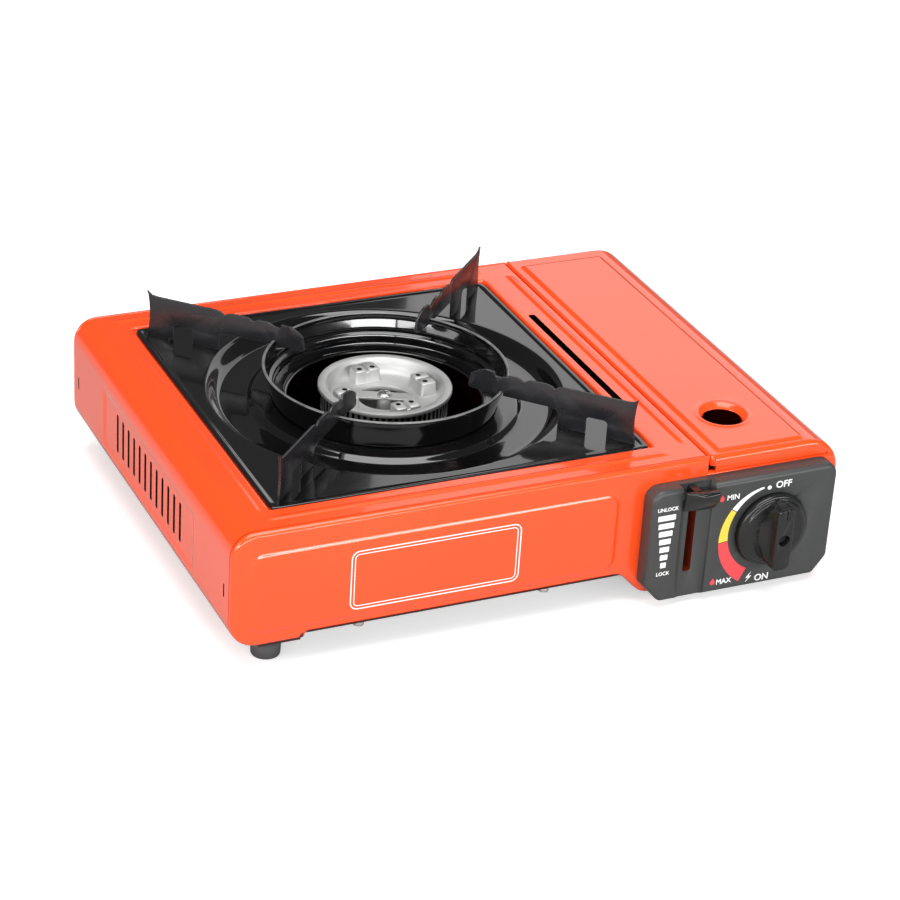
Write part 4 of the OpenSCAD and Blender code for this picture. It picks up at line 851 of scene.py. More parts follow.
class StoveShell(bpy.types.Operator):
    """Press the wrapper with its deck, tray well, beads and vents"""
    bl_idname = "stove.shell"
    bl_label = "Body shell"

    def execute(self, context):
        rise = body_size("bead_rise")
        vents, vent_field = vent_holes()
        us, vs = shell_section(vents, vent_field), shell_rows(vents, vent_field)

        def lift(u, y):
            if u.part == "wall":
                return -VENT_FIELD_DEPTH * field(u.z, y, vent_field, VENT_FIELD_RAMP)
            if u.part != "deck":
                return 0.0
            along_x = between(u.x, LEFT + BEAD_END, DECK_SLOT_X - 5.0, BEAD_RAMP)
            along_y = between(y, FRONT + BEAD_END, REAR - BEAD_END, BEAD_RAMP)
            return rise * max(bump(y - FRONT_BEAD, BEAD_HALF) * along_x,
                              bump(y - REAR_BEAD, BEAD_HALF) * along_x,
                              LEFT_BEAD_SHARE * bump(u.x - LEFT_BEAD, LEFT_BEAD_HALF) * along_y,
                              bump(u.x - SEAM_BEAD, BEAD_HALF) * along_y)

        def holes_at(i, j):
            a, b = us[i], us[i + 1]
            if a.part == b.part == "deck":
                return hole_cell(a.x, b.x, vs[j], vs[j + 1], [WELL, DECK_SLOT])
            if a.part == b.part == "wall":
                return hole_cell(a.z, b.z, vs[j], vs[j + 1], vents + TAB_HOLES)
            return None

        shape = Shape()
        grid = sheet_grid(shape, us, vs, lift)
        grid_faces(shape, grid, holes_at)
        well_flange(shape, hole_edge(grid, us, vs, "deck", WELL))
        shape.drop_loose()
        obj = shape.piece("body_shell_pressing", inside=(0.0, TRAY_Y, INSIDE_Z))
        thicken(obj, SHELL_WALL, shaded_inside=True)
        # The inner side and the cut edges of vents, well and slot take the darker red, a painted shade; the
        # faces at the two ends stay red
        for face in obj.data.polygons:
            if abs(face.normal.y) > 0.9 and not FRONT + END_ZONE < face.center.y / MM < REAR - END_ZONE:
                face.material_index = 0
        finish_piece(obj, "red_paint", "housing", ("body_shell",), angle=50,
                     second="inner_paint")
        return {"FINISHED"}


# Lid

LID_WALL, LID_GAP, LID_RAMP = 0.9, 0.4, 3.4
KNUCKLE_R, ROD_BORE, HINGE_ZONES = 2.8, 1.35, 5
LID_HOLE_X, LID_HOLE_Y, LID_HOLE_R, HOLE_PATCH = 120.7, FRONT + 41.0, 10.5, 17.0
LID_HOLE = (LID_HOLE_X - HOLE_PATCH, LID_HOLE_X + HOLE_PATCH,
            LID_HOLE_Y - HOLE_PATCH, LID_HOLE_Y + HOLE_PATCH, 0.0)
ZONE_LENGTH = (REAR - FRONT - 60.0) / HINGE_ZONES
ZONE_Y = [TRAY_Y - ZONE_LENGTH * HINGE_ZONES / 2 + ZONE_LENGTH * i for i in range(HINGE_ZONES + 1)]


def lid_section(raised):
    """Stations of the lid, from its seam over its top to its hinge."""
    top = body_size("lid_edge_radius")
    us = [Station(SEAM_RIGHT, DECK - 5.0, -1, 0, "edge")]
    us += bend(SEAM_RIGHT + SEAM_R, DECK - SEAM_R, SEAM_R, 180, 90, 5)
    marks = [(raised[0], 2.4, 0.5), (raised[2], 2.4, 0.5), exact(LID_HOLE[0]), exact(LID_HOLE[1])]
    flat = stations(SEAM_RIGHT + SEAM_R + 0.3, RIGHT - top - 0.2, 2.6, marks)
    us += [Station(x, DECK, 0, 1, "top") for x in flat]
    wall_z = HINGE_Z + KNUCKLE_R + 0.4
    curve = bend(RIGHT - top, DECK - top, top, 90, math.degrees(math.asin((wall_z - DECK + top) / top)), 24)
    curve[-1].part = "wall"
    return us + curve + [Station(RIGHT, HINGE_Z, 1, 0, "wall")]


def lid_rows(raised):
    """Places along Y of the lid's grid, close together at its round ends."""
    r = body_size("rim_radius")
    y0, y1 = FRONT + LID_GAP, REAR - LID_GAP
    ends = [d for _, d in rounding(r)][:-1]
    marks = [(raised[1], 2.2, 0.5), (raised[3], 2.2, 0.5), exact(LID_HOLE[2]), exact(LID_HOLE[3])]
    marks += [exact(y + s * 0.2) for y in ZONE_Y for s in (-1, 1)]
    marks += [exact(y) for y in (FRONT + RIM_DEPTH + 0.4, REAR - RIM_DEPTH - 0.4)]
    return [y0 + e for e in ends] + stations(y0 + r, y1 - r, 4.0, marks) + [y1 - e for e in reversed(ends)]


def hole_lip(shape, ring, crown):
    """The turned-down lip of the lid's hole, from the points round its patch."""
    turns = [math.atan2(v.co.y / MM - LID_HOLE_Y, v.co.x / MM - LID_HOLE_X) for v in ring]
    for r, z in ((16.2, 0.0), (15.4, 0.12), (14.6, 0.38), (13.9, 0.45), (13.2, 0.25), (12.5, -0.25),
                 (11.8, -0.95), (11.2, -1.6), (10.8, -2.05), (LID_HOLE_R, -2.6)):
        made = shape.ring([(LID_HOLE_X + r * math.cos(a), LID_HOLE_Y + r * math.sin(a), crown + z)
                           for a in turns])
        shape.bridge(ring, made)
        ring = made


def knuckles():
    """The lid's rolled knuckles on the hinge rod, in every second zone of the hinge."""
    gap, edge = 0.25, 0.35
    rolls = Shape()
    for i in range(0, HINGE_ZONES, 2):
        a, b = ZONE_Y[i] + gap, ZONE_Y[i + 1] - gap
        sides = [(KNUCKLE_R - edge, a), (KNUCKLE_R, a + edge), (KNUCKLE_R, b - edge), (KNUCKLE_R - edge, b),
                 (ROD_BORE, b), (ROD_BORE, a)]
        rolls.hoop(turned_along_y(sides, HINGE_X, HINGE_Z, 28))
    return rolls


class StoveLid(bpy.types.Operator):
    """Press the hinged lid with its raised field, its hole and its hinge knuckles"""
    bl_idname = "stove.lid"
    bl_label = "Cartridge lid"

    def execute(self, context):
        top, r, up = body_size("lid_edge_radius"), body_size("rim_radius"), body_size("lid_raise")
        raised = (SEAM_RIGHT + 6.5, FRONT + 5.5, RIGHT - top - 2.0, REAR - 12.0)
        us, vs = lid_section(raised), lid_rows(raised)
        gaps = [(ZONE_Y[i] - 0.21, ZONE_Y[i + 1] + 0.21) for i in range(1, HINGE_ZONES, 2)]

        def lift(u, y):
            e = min(y - vs[0], vs[-1] - y)
            drawn_in = r - math.sqrt(max(0.0, r * r - (r - e) ** 2)) if e < r else 0.0
            return (up * field(u.x, y, raised, LID_RAMP) if u.part == "top" else 0.0) - drawn_in

        def holes_at(i, j):
            a, b = us[i], us[i + 1]
            y = (vs[j] + vs[j + 1]) / 2
            if a.part == b.part == "top":
                return hole_cell(a.x, b.x, vs[j], vs[j + 1], [LID_HOLE])
            if a.x > HINGE_X - 20 and a.z < LID_SPLIT + 1.0 and min(y - FRONT, REAR - y) < RIM_DEPTH + 0.4:
                return "open"
            if a.part == b.part == "wall" and any(lo < y < hi for lo, hi in gaps):
                return "open"
            return None

        shape = Shape()
        grid = sheet_grid(shape, us, vs, lift)
        grid_faces(shape, grid, holes_at)
        for j in (0, len(vs) - 1):
            row = [line[j] for line in grid if line[j].co.z / MM > LID_SPLIT + 0.3]
            foot = shape.ring([(v.co.x / MM, vs[j], LID_SPLIT) for v in (row[-1], row[0])])
            shape.fill(row + foot)
        hole_lip(shape, hole_edge(grid, us, vs, "top", LID_HOLE), DECK + up)
        shape.drop_loose()
        obj = shape.piece("lid_pressing", inside=(HINGE_X - 35.0, TRAY_Y, INSIDE_Z))
        thicken(obj, LID_WALL)
        add_shape(obj, knuckles())
        finish_piece(obj, "red_paint", "lid", ("cartridge_lid",), angle=50)
        return {"FINISHED"}


class StoveFeet(bpy.types.Operator):
    """Turn the rubber feet"""
    bl_idname = "stove.feet"
    bl_label = "Feet"

    def execute(self, context):
        screw_r, head_r, head_z = 1.6, 2.9, 3.0
        for name in ("foot_left_front", "foot_left_rear", "foot_right_front", "foot_right_rear"):
            lo, hi = node_box(name)
            r, h = (hi[0] - lo[0]) / 2, hi[2]
            groove = 0.35 if h > 10 else 0.0
            profile = [(head_r, head_z), (head_r, 0.4), (head_r + 0.4, 0.0), (r - 1.8, 0.0), (r - 1.1, 0.3),
                       (r - 0.75, 0.9), (r - 0.4, h * 0.45), (r - 0.4 - groove, h * 0.5), (r - 0.3, h * 0.55),
                       (r, h - 0.6), (r - 0.5, h), (screw_r, h), (screw_r, head_z)]
            obj = Shape().hoop(turned(profile, midpoint(lo, hi), 48)).piece(name + "_rubber")
            finish_piece(obj, "rubber", "housing", (name,))
        return {"FINISHED"}


# Tray, ring and supports

def square_ring(half, corner, z, count):
    """A square with round corners about the tray's middle, count points a side, starting at the right."""
    points = []
    for side in range(4):
        for k in range(count):
            t = -1 + 2 * k / count
            x, y = half, half * t
            over_y = max(0.0, abs(y) - (half - corner))
            if over_y > 0:
                a = over_y / corner * math.pi / 4
                x = half - corner + corner * math.cos(a)
                y = math.copysign(half - corner + corner * math.sin(a), y)
            for _ in range(side):
                x, y = -y, x
            points.append((TRAY_X + x, TRAY_Y + y, z))
    return points


def tray_rings(seat):
    """Rings of the tray from its rolled edge over the dish to its middle hole."""
    dish, depth, hole = burner_size("dish_radius"), burner_size("dish_depth"), burner_size("hole_radius")
    floor, corner, dish_run, seat_run = TRAY_FLAT - depth, 3.0, 9.0, 4.0
    rolled_edge = ((0.25, -0.9), (0.0, -0.5), (0.0, 0.1), (0.25, 0.42), (0.8, 0.58), (1.4, 0.6), (2.2, 0.56),
                   (2.9, 0.36), (3.5, 0.1), (4.2, 0.0), (5.2, 0.0))
    rings = [square_ring(TRAY_HALF - d, max(0.4, corner - d), TRAY_FLAT + z, 40) for d, z in rolled_edge]
    turns = [math.atan2(y - TRAY_Y, x - TRAY_X) for x, y, _ in rings[0]]
    profile = [(dish + 2.5, TRAY_FLAT)]
    profile += [(dish + 1.0 - dish_run * k / 12, TRAY_FLAT - depth * smooth(k / 12)) for k in range(13)]
    profile += [(r, floor) for r in (84.0, 80.0, 76.0)]
    profile += [(RING_R + 8.0 - seat_run * k / 8, floor + (seat - floor) * smooth(k / 8)) for k in range(9)]
    profile += [(r, seat) for r in (RING_R, RING_R - 6, hole + 2.0, hole + 0.8)]
    profile += [(hole + 0.25, seat - 0.15), (hole, seat - 0.6)]
    return rings + [about_burner(turns, r, z) for r, z in profile]


def ring_profile(seat):
    """Section of the wind ring: its foot, its leaning outside, its rolled rim and its inside."""
    foot, rim = RING_R - 6.0, RING_HI[2]
    outer = [(foot - 6.0, seat + 0.1), (foot - 1.5, seat + 0.1), (foot - 0.2, seat + 0.25),
             (foot + 0.5, seat + 0.8)]
    lean = [(foot + 0.6 + (RING_R - 1.2 - foot) * (k / 8) ** 1.15, seat + 1.2 + (rim - 3.4 - seat) * k / 8)
            for k in range(9)]
    roll = [(RING_R - 0.9 + 0.9 * math.cos(a), rim - 0.95 + 0.95 * math.sin(a))
            for a in [math.radians(-40 + 22 * k) for k in range(11)]]
    inner = [(r - 1.0, z + 0.1) for r, z in reversed(lean[4:])]
    inner += [(foot + 2.0, seat + 7.2), (foot + 1.7, seat + 6.9), (foot + 0.3, seat + 6.6),
              (foot - 0.1, seat + 6.2), (foot - 0.2, seat + 4.0), (foot - 0.3, seat + 2.0)]
    base = [(foot - 0.6, seat + 1.3), (foot - 1.6, seat + 1.1), (foot - 6.0, seat + 1.0)]
    return outer + lean + roll + inner + base


class StoveTray(bpy.types.Operator):
    """Press the drip tray and roll the wind ring"""
    bl_idname = "stove.tray"
    bl_label = "Drip tray and wind ring"

    def execute(self, context):
        seat, wall, highlit_rim_z = TRAY_FLAT - burner_size("seat_drop"), 0.9, RING_HI[2] - 0.5
        shape = Shape()
        shape.loft(tray_rings(seat))
        tray = shape.piece("drip_tray_pressing", inside=(TRAY_X, TRAY_Y, -400.0))
        thicken(tray, wall)
        finish_piece(tray, "black_enamel", "tray", ("drip_tray",), angle=50)
        ring = Shape().hoop(turned(ring_profile(seat), (TRAY_X, TRAY_Y), 144)).piece("wind_ring_rolled")
        # The top of the rolled rim takes the light grey finish: painted highlight
        mark_faces(ring, lambda x, y, z: z > highlit_rim_z)
        finish_piece(ring, "black_enamel", "tray", ("wind_ring",), angle=50,
                     second="rubbed_enamel")
        return {"FINISHED"}


def support_outline():
    """Outline of a pan support: distance from the burner's axis and height above the tray's flat."""
    reach, h, rim = 140.0, 23.3, RING_HI[2] - TRAY_FLAT
    low, leg = rim - 2.4, burner_size("dish_radius") + 2.0
    window_in, window_out = (leg + share * (reach - leg) for share in (0.36, 0.635))
    window_h, window_r = 9.6, 2.0
    outer = [(reach, 0.0), (reach - 0.7, h * 0.2), (reach - 1.15, h * 0.4), (reach - 1.25, h * 0.62),
             (reach - 0.9, h * 0.85), (reach - 0.3, h + 0.8), (reach + 0.5, h + 2.7), (reach - 0.6, h + 1.7),
             (reach - 2.2, h + 0.5), (reach - 5.0, h + 0.05)]
    teeth = [(33, 0), (30.6, -0.5), (28.5, -2.2), (26.4, -0.9), (23, -0.2), (14.5, -0.5), (12.9, -1.4),
             (11.4, -2.2), (9.6, -1.1), (7.5, -0.2), (3, -0.5), (0.8, -1.3), (-1, -2.2), (-4.5, -2.2),
             (-5.2, 0), (-10.5, 0.1), (-14.5, -1.4), (-18.6, -4.2)]
    tip = [(-19.8, low + 1.5 - h), (-19.2, low + 0.4 - h), (-17, low - h)]
    under = [(RING_R - 2.4, low), (RING_R - 2.4, rim + 0.1), (RING_R + 0.5, rim + 0.1), (RING_R + 0.5, low),
             (leg - 6.0, low - 0.3), (leg - 2.6, low - 0.7), (leg - 0.8, low - 1.8), (leg, low - 3.6),
             (leg, 0.0), (window_in, 0.0)]
    window = (arc(window_in + window_r, window_h - window_r, window_r, 180, 90, 4)
              + arc(window_out - window_r, window_h - window_r, window_r, 90, 0, 4))
    return outer + [(RING_R + u, h + z) for u, z in teeth + tip] + under + window + [(window_out, 0.0)]


def bend_paddle(mesh, turn):
    """Bends the inner end of a support's blade, which still lies along X."""
    start, full, share = RING_R - 3.0, RING_R - 9.0, 0.6
    for vertex in mesh.vertices:
        u, v, z = (c / MM for c in vertex.co)
        past = start - u
        if past > 0:
            a = turn * smooth(past / (start - full))
            u = start - past * math.cos(a * share) - v * math.sin(a)
            v = v * math.cos(a) - past * math.sin(a * share)
        vertex.co = Vector((u, v, z)) * MM


class StoveSupports(bpy.types.Operator):
    """Cut the pan supports and bend their inner ends"""
    bl_idname = "stove.supports"
    bl_label = "Pan supports"

    def execute(self, context):
        half, edge_round = burner_size("support_thickness") / 2, 0.22
        outline, cuts, spacing = support_outline(), 14, 0.6
        for i in range(4):
            name = "pan_support_%d" % i
            shape = Shape()
            front, back = shape.loft([[(u, y, z) for u, z in outline] for y in (-half, half)])
            shape.fill(front)
            shape.fill(back)
            for k in range(cuts):
                plane = Vector((RING_R - 2.6 - k * spacing, 0.0, 0.0)) * MM
                geometry = shape.bm.verts[:] + shape.bm.edges[:] + shape.bm.faces[:]
                bmesh.ops.bisect_plane(shape.bm, geom=geometry, plane_co=plane, plane_no=(1.0, 0.0, 0.0),
                                       dist=1e-7)
            obj = shape.piece(name + "_blade", weld=0.002)
            # The rounded edges take the light grey finish: partly rubbed wear, partly painted highlight
            obj.data.materials.append(FINISHES["support_enamel"])
            obj.data.materials.append(FINISHES["rubbed_enamel"])
            soften(obj, edge_round, 40, finish_index=1, harden=False)
            bend_paddle(obj.data, context.scene.stove_burner.paddle_turn)
            obj.data.transform(Matrix.Translation(Vector((TRAY_X, TRAY_Y, TRAY_FLAT)) * MM)
                               @ Matrix.Rotation(math.radians(45 + 90 * i), 4, "Z"))
            finish_piece(obj, "support_enamel", "tray", (name,), second="rubbed_enamel",
                         flat=True)
        return {"FINISHED"}


# Burner

HEAD_TOP = HEAD_HI[2]
HEAD_LOW, HEAD_FLOOR = HEAD_TOP - 15.0, HEAD_TOP - 8.0
NECK_R, HEAD_HOLE_R, PORT_DEPTH = HEAD_R - 2.0, 14.0, 3.4
BLOCK_TOP, BLOCK_TURN, BLOCK_PITCH = HEAD_FLOOR + 7.2, 5, 3.9


def head_rings(count):
    """Rings of the burner head from its lower edge over its rim to its underside, with its flame ports."""
    step = 2 * math.pi / count
    turns = [((i + f) * step, f > 0.5) for i in range(count) for f in (0.0, 0.5, 0.53, 0.97)]
    r, neck, hole, top, low, floor = HEAD_R, NECK_R, HEAD_HOLE_R, HEAD_TOP, HEAD_LOW, HEAD_FLOOR
    profile = [(neck - 4.0, low, 0), (neck - 0.4, low, 0), (neck, low + 0.5, 0), (neck, low + 3.0, 0),
               (neck, low + 3.15, 1), (neck, low + 11.6, 1), (neck, low + 11.75, 0),
               (neck + 0.4, low + 12.3, 0), (r - 0.4, low + 12.7, 0), (r, low + 13.1, 0), (r, top - 0.7, 0),
               (r - 0.3, top - 0.2, 0),
               (r - 0.9, top, 0), (r - 4.0, top, 0), (r - 4.5, top - 0.25, 0), (r - 5.0, top - 1.0, 0),
               (r - 5.6, top - 3.6, 0), (r - 6.3, top - 5.8, 0), (r - 7.9, floor + 0.6, 0),
               (r - 10.0, floor + 0.1, 0), (hole + 1.0, floor, 0), (hole + 0.3, floor - 0.2, 0),
               (hole, floor - 0.8, 0), (hole, floor - 2.6, 0), (hole + 0.4, floor - 3.0, 0),
               (neck - 4.4, floor - 3.0, 0), (neck - 4.0, floor - 3.4, 0)]
    rings = []
    for radius, z, cut in profile:
        reach = [radius - (PORT_DEPTH if cut and port else 0.0) for _, port in turns]
        rings.append([(TRAY_X + q * math.cos(a), TRAY_Y + q * math.sin(a), z)
                      for q, (a, _) in zip(reach, turns)])
    return rings


def on_head(block, x, y, z):
    """A point of one of the head's four blocks, given beside the burner's axis."""
    p = Matrix.Rotation(math.radians(BLOCK_TURN + 90 * block), 3, "Z") @ Vector((x, y, 0.0))
    return (TRAY_X + p.x, TRAY_Y + p.y, z)


class StoveBurner(bpy.types.Operator):
    """Cast the burner head, with its ports, blocks and middle screw"""
    bl_idname = "stove.burner"
    bl_label = "Burner head"

    def execute(self, context):
        rings = head_rings(context.scene.stove_burner.port_count)
        head = Shape().hoop(rings).piece("burner_head_casting")
        inner, outer, corner = 18.9, 27.6, 1.3
        for i in range(4):
            for middle, half, crown in ((-BLOCK_PITCH, 3.3, BLOCK_TOP), (BLOCK_PITCH, 3.3, BLOCK_TOP),
                                        (0.0, 2.4, BLOCK_TOP - 1.0)):
                rings = []
                for z, grow in ((HEAD_FLOOR - 0.6, 0.9), (HEAD_FLOOR + 0.6, 0.35), (crown - 0.5, 0.0),
                                (crown, -0.5)):
                    corners = round_rect(inner - grow, middle - half - grow, outer + grow,
                                         middle + half + grow, corner, 3)
                    rings.append([on_head(i, x, y, z) for x, y in corners])
                carve(head, Shape().solid(rings), "UNION")
        pit_x, pit_r = 22.2, 1.5
        pit_at = [on_head(i, pit_x, BLOCK_PITCH * s, 0.0)[:2] for i in range(4) for s in (-1, 1)]
        pits = Shape()
        for place in pit_at:
            pits.solid(turned([(pit_r - 0.15, BLOCK_TOP - 5.0), (pit_r, BLOCK_TOP + 2.0)], place, 16))
        carve(head, pits)

        # Ports and pits get the near-black finish: painted shade in these hollows
        def port_or_pit_in_shade(x, y, z):
            away = math.hypot(x - TRAY_X, y - TRAY_Y)
            port = NECK_R - 3.6 < away < NECK_R - 0.2 and HEAD_LOW + 3.0 < z < HEAD_LOW + 11.8
            pit = any(math.hypot(x - a, y - b) < pit_r + 0.1 for a, b in pit_at)
            return port or pit and z < BLOCK_TOP - 0.1

        mark_faces(head, port_or_pit_in_shade)
        finish_piece(head, "cast_alloy", "housing", ("burner_head",), angle=40, second="soot")

        lo, hi = node_box("burner_screw")
        seat, r, shank_r = hi[2] - 2.0, (hi[0] - lo[0]) / 2, 2.0
        profile = [(shank_r, lo[2]), (shank_r, seat), (r, seat), (r, seat + 0.7), (r - 0.5, seat + 1.4),
                   (r - 1.5, seat + 1.85), (0.9, seat + 2.0)]
        screw = Shape().solid(turned(profile, (TRAY_X, TRAY_Y), 32)).piece("burner_screw_head")
        arm = [(2.3, -0.45), (2.3, 0.45), (0.45, 0.45)]
        outline = [Matrix.Rotation(math.pi / 2 * k, 2) @ Vector(p) for k in range(4) for p in arm]
        carve(screw, Shape().solid([[(TRAY_X + p.x, TRAY_Y + p.y, z) for p in outline]
                                    for z in (seat + 0.9, seat + 2.6)]))
        finish_piece(screw, "zinc_steel", "housing", ("burner_screw",))
        return {"FINISHED"}


# Controls

def panel_outline():
    """Outline of the control panel in X and Z."""
    x0, x1, z0, z1 = PANEL_LO[0], PANEL_HI[0], PANEL_LO[2], PANEL_HI[2]
    corner = 7.0
    return ([(x0, z0 + 11.0), (x0 + 0.5, z0 + 9.8), (x0 + 8.6, z0 + 0.8), (x0 + 10.2, z0), (x1 - 8.8, z0),
             (x1 - 7.4, z0 + 0.7), (x1 - 0.6, z0 + 9.2), (x1, z0 + 10.6)]
            + arc(x1 - corner, z1 - corner, corner, 0, 90, 10)
            + arc(x0 + corner, z1 - corner, corner, 90, 180, 10))


class StoveControlPanel(bpy.types.Operator):
    """Mould the control panel with the lever's channel and the knob's recess"""
    bl_idname = "stove.control_panel"
    bl_label = "Control panel"

    def execute(self, context):
        outline, notch_z, out = panel_outline(), LEVER_HI[2] - 5.6, 3.0
        before, behind = FACE - out, FRONT + out
        recess_r, spindle_bore, edge_round = KNOB_R + 0.5, 3.5, 0.55
        sides = [(FRONT - 0.02, 0.0)] + [(FACE + y, d) for y, d in rounding(control_size("panel_round"))]
        shape = Shape().solid([[(x, y, z) for x, z in inset(outline, d)] for y, d in sides])
        panel = shape.piece("control_panel_moulding")
        trough = [(LEVER_X - 8.6, -out), (LEVER_X - 8.2, 0.0), (LEVER_X - 5.4, 1.7), (LEVER_X - 3.6, 2.3),
                  (LEVER_X + 8.3, 2.4), (LEVER_X + 9.7, 1.6), (LEVER_X + 10.2, -0.2), (LEVER_X + 10.3, -out)]
        slot = round_rect(LEVER_X - SLOT_HALF, SLOT_FOOT, LEVER_X + SLOT_HALF, LEVER_HI[2] - 0.4, 1.2, 4)
        carve(panel, Shape().solid([[(x, FACE + d, z) for x, d in trough]
                                    for z in (PANEL_LO[2] - out, notch_z + 0.4)]))
        carve(panel, Shape().box((LEVER_X - 7.3, before, notch_z),
                                 (LEVER_X + 11.7, FRONT - 4.0, PANEL_HI[2] + out)))
        carve(panel, Shape().prism(slot, before, behind))
        carve(panel, Shape().prism(arc(KNOB_X, KNOB_Z, recess_r, 0, 355, 71), before, FACE + 1.0))
        carve(panel, Shape().prism(arc(KNOB_X, KNOB_Z, spindle_bore, 0, 345, 23), before, behind))
        soften(panel, edge_round, 32)
        # The walls of the lever's slot take dark red: painted shade of the red inside seen through the slot
        mark_faces(panel, lambda x, y, z: abs(x - LEVER_X) < SLOT_HALF + 0.3 and y > FACE + 3.0
                   and SLOT_FOOT - 0.5 < z < notch_z)
        finish_piece(panel, "dark_plastic", "housing", ("control_panel",), angle=32,
                     second="slot_paint")
        return {"FINISHED"}


def grip_rings(disc, front, reach):
    """Rings of the knob's grip bar, wide and soft at the disc and slim and square at its front."""
    half, steps = control_size("grip_width") / 2, 12
    flare, flare_power, soft, square, square_power = 5.2, 1.7, 1.75, 6.5, 1.5
    rings = []
    for s in [k / steps for k in range(steps + 1)]:
        a, b = half + flare * (1 - s) ** flare_power, reach + 1.0 * (1 - s)
        power = 2 / (soft + square * s ** square_power)
        y = disc - 0.4 + (front + 0.5 - disc + 0.4) * s
        ring = []
        for t in full_turn(96):
            c, n = math.cos(t), math.sin(t)
            ring.append((KNOB_X + a * math.copysign(abs(c) ** power, c), y,
                         KNOB_Z + b * math.copysign(abs(n) ** power, n)))
        rings.append(ring)
    last = [(KNOB_X + (x - KNOB_X) * 0.9, front, KNOB_Z + (z - KNOB_Z) * 0.972) for x, _, z in rings[-1]]
    return rings + [last]


class StoveKnob(bpy.types.Operator):
    """Mould the knob with its grip bar and its eye"""
    bl_idname = "stove.knob"
    bl_label = "Knob"

    def execute(self, context):
        r, back, front = KNOB_R, KNOB_HI[1], KNOB_LO[1]
        disc, reach, mark_half, eye_r, edge_round = FACE - 4.0, KNOB_R - 2.6, 0.45, 3.3, 0.3
        profile = [(r - 0.5, back), (r, back - 0.5), (r, disc + 1.4), (r - 0.25, disc + 0.7),
                   (r - 0.9, disc + 0.15), (r - 1.8, disc), (r - 2.4, disc - 0.25), (r - 2.7, disc - 0.8),
                   (r - 3.2, disc - 1.15), (r - 4.2, disc - 1.2)]
        knob = Shape().solid(turned_along_y(profile, KNOB_X, KNOB_Z, 96)).piece("knob_moulding")
        carve(knob, Shape().solid(grip_rings(disc, front, reach)), "UNION")
        carve(knob, Shape().prism(arc(KNOB_X, KNOB_Z, eye_r, 0, 350, 35), front - 3.0, SPINDLE_END - 1.5))
        carve(knob, Shape().box((KNOB_X - mark_half, front - 2.0, KNOB_Z + reach - 5.5),
                                (KNOB_X + mark_half, front + 0.45, KNOB_Z + reach + 2.0)))
        soften(knob, edge_round, 40)
        finish_piece(knob, "gloss_plastic", "dial", ("knob",), angle=36)
        return {"FINISHED"}


def swept(name, path, radius, sides):
    """A closed round tube along a path."""
    points = [Vector(p) for p in path]
    across = Vector((0.31, 0.12, 0.94)).normalized()
    rings = []
    for i, p in enumerate(points):
        ahead = (points[min(i + 1, len(points) - 1)] - points[max(i - 1, 0)]).normalized()
        across = (across - ahead * across.dot(ahead)).normalized()
        other = ahead.cross(across)
        rings.append([tuple(p + (across * math.cos(t) + other * math.sin(t)) * radius)
                      for t in full_turn(sides)])
    return Shape().solid(rings).piece(name)


class StoveLever(bpy.types.Operator):
    """Mould the lock lever and wind its spring"""
    bl_idname = "stove.lever"
    bl_label = "Lock lever"

    def execute(self, context):
        lo, hi = LEVER_LO, LEVER_HI
        back, stem_half, edge_round = FACE - 0.4, 2.0, 0.5
        side = [(back, lo[2]), (back - 2.0, lo[2]), (lo[1], hi[2] - 4.3), (lo[1], hi[2] - 1.0),
                (lo[1] + 0.8, hi[2]), (lo[1] + 5.0, hi[2]), (lo[1] + 5.0, hi[2] - 2.6), (back, hi[2] - 2.6)]
        slant = ((lo[0], 0.3), (lo[0] + 3.0, 0.55), (LEVER_X + 0.5, 1.0), (hi[0], 1.0))
        shape = Shape().solid([[(x, back + (y - back) * k, z) for y, z in side] for x, k in slant])
        lever = shape.piece("lock_lever_tab")
        soften(lever, edge_round, 25, segments=3)
        carve(lever, Shape().box((LEVER_X - stem_half, back - 0.8, hi[2] - 6.6),
                                 (LEVER_X + stem_half, STEM_LO[1] + 4.0, hi[2] - 0.7)), "UNION")
        finish_piece(lever, "gloss_plastic", "lever", ("lock_lever",), angle=40)

        wire_r, turns, per_turn = 0.5, 8, 20
        total = turns * per_turn
        foot, top, end = SPRING_LO[2], SPRING_HI[2], 2 * wire_r
        radius = (SPRING_HI[0] - SPRING_LO[0]) / 2 - wire_r
        sx, sy, _ = midpoint(SPRING_LO, SPRING_HI)
        path = [(sx + radius, sy, foot + wire_r * 0.2)]
        for k in range(total + 1):
            a = 2 * math.pi * k / per_turn
            path.append((sx + radius * math.cos(a), sy + radius * math.sin(a),
                         foot + end + (top - foot - 2 * end) * k / total))
        path.append((sx + radius, sy, top - wire_r * 0.2))
        spring = swept("lever_spring_wire", path, wire_r, 10)
        finish_piece(spring, "zinc_steel", "housing", ("lever_spring",))
        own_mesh(spring)
        return {"FINISHED"}


def softened_path(points, rounds=3):
    """A path with its corners cut again and again, its ends kept."""
    for _ in range(rounds):
        cut = [points[0]]
        for a, b in zip(points, points[1:]):
            a, b = Vector(a), Vector(b)
            cut += [a.lerp(b, 0.25), a.lerp(b, 0.75)]
        points = cut + [points[-1]]
    return points


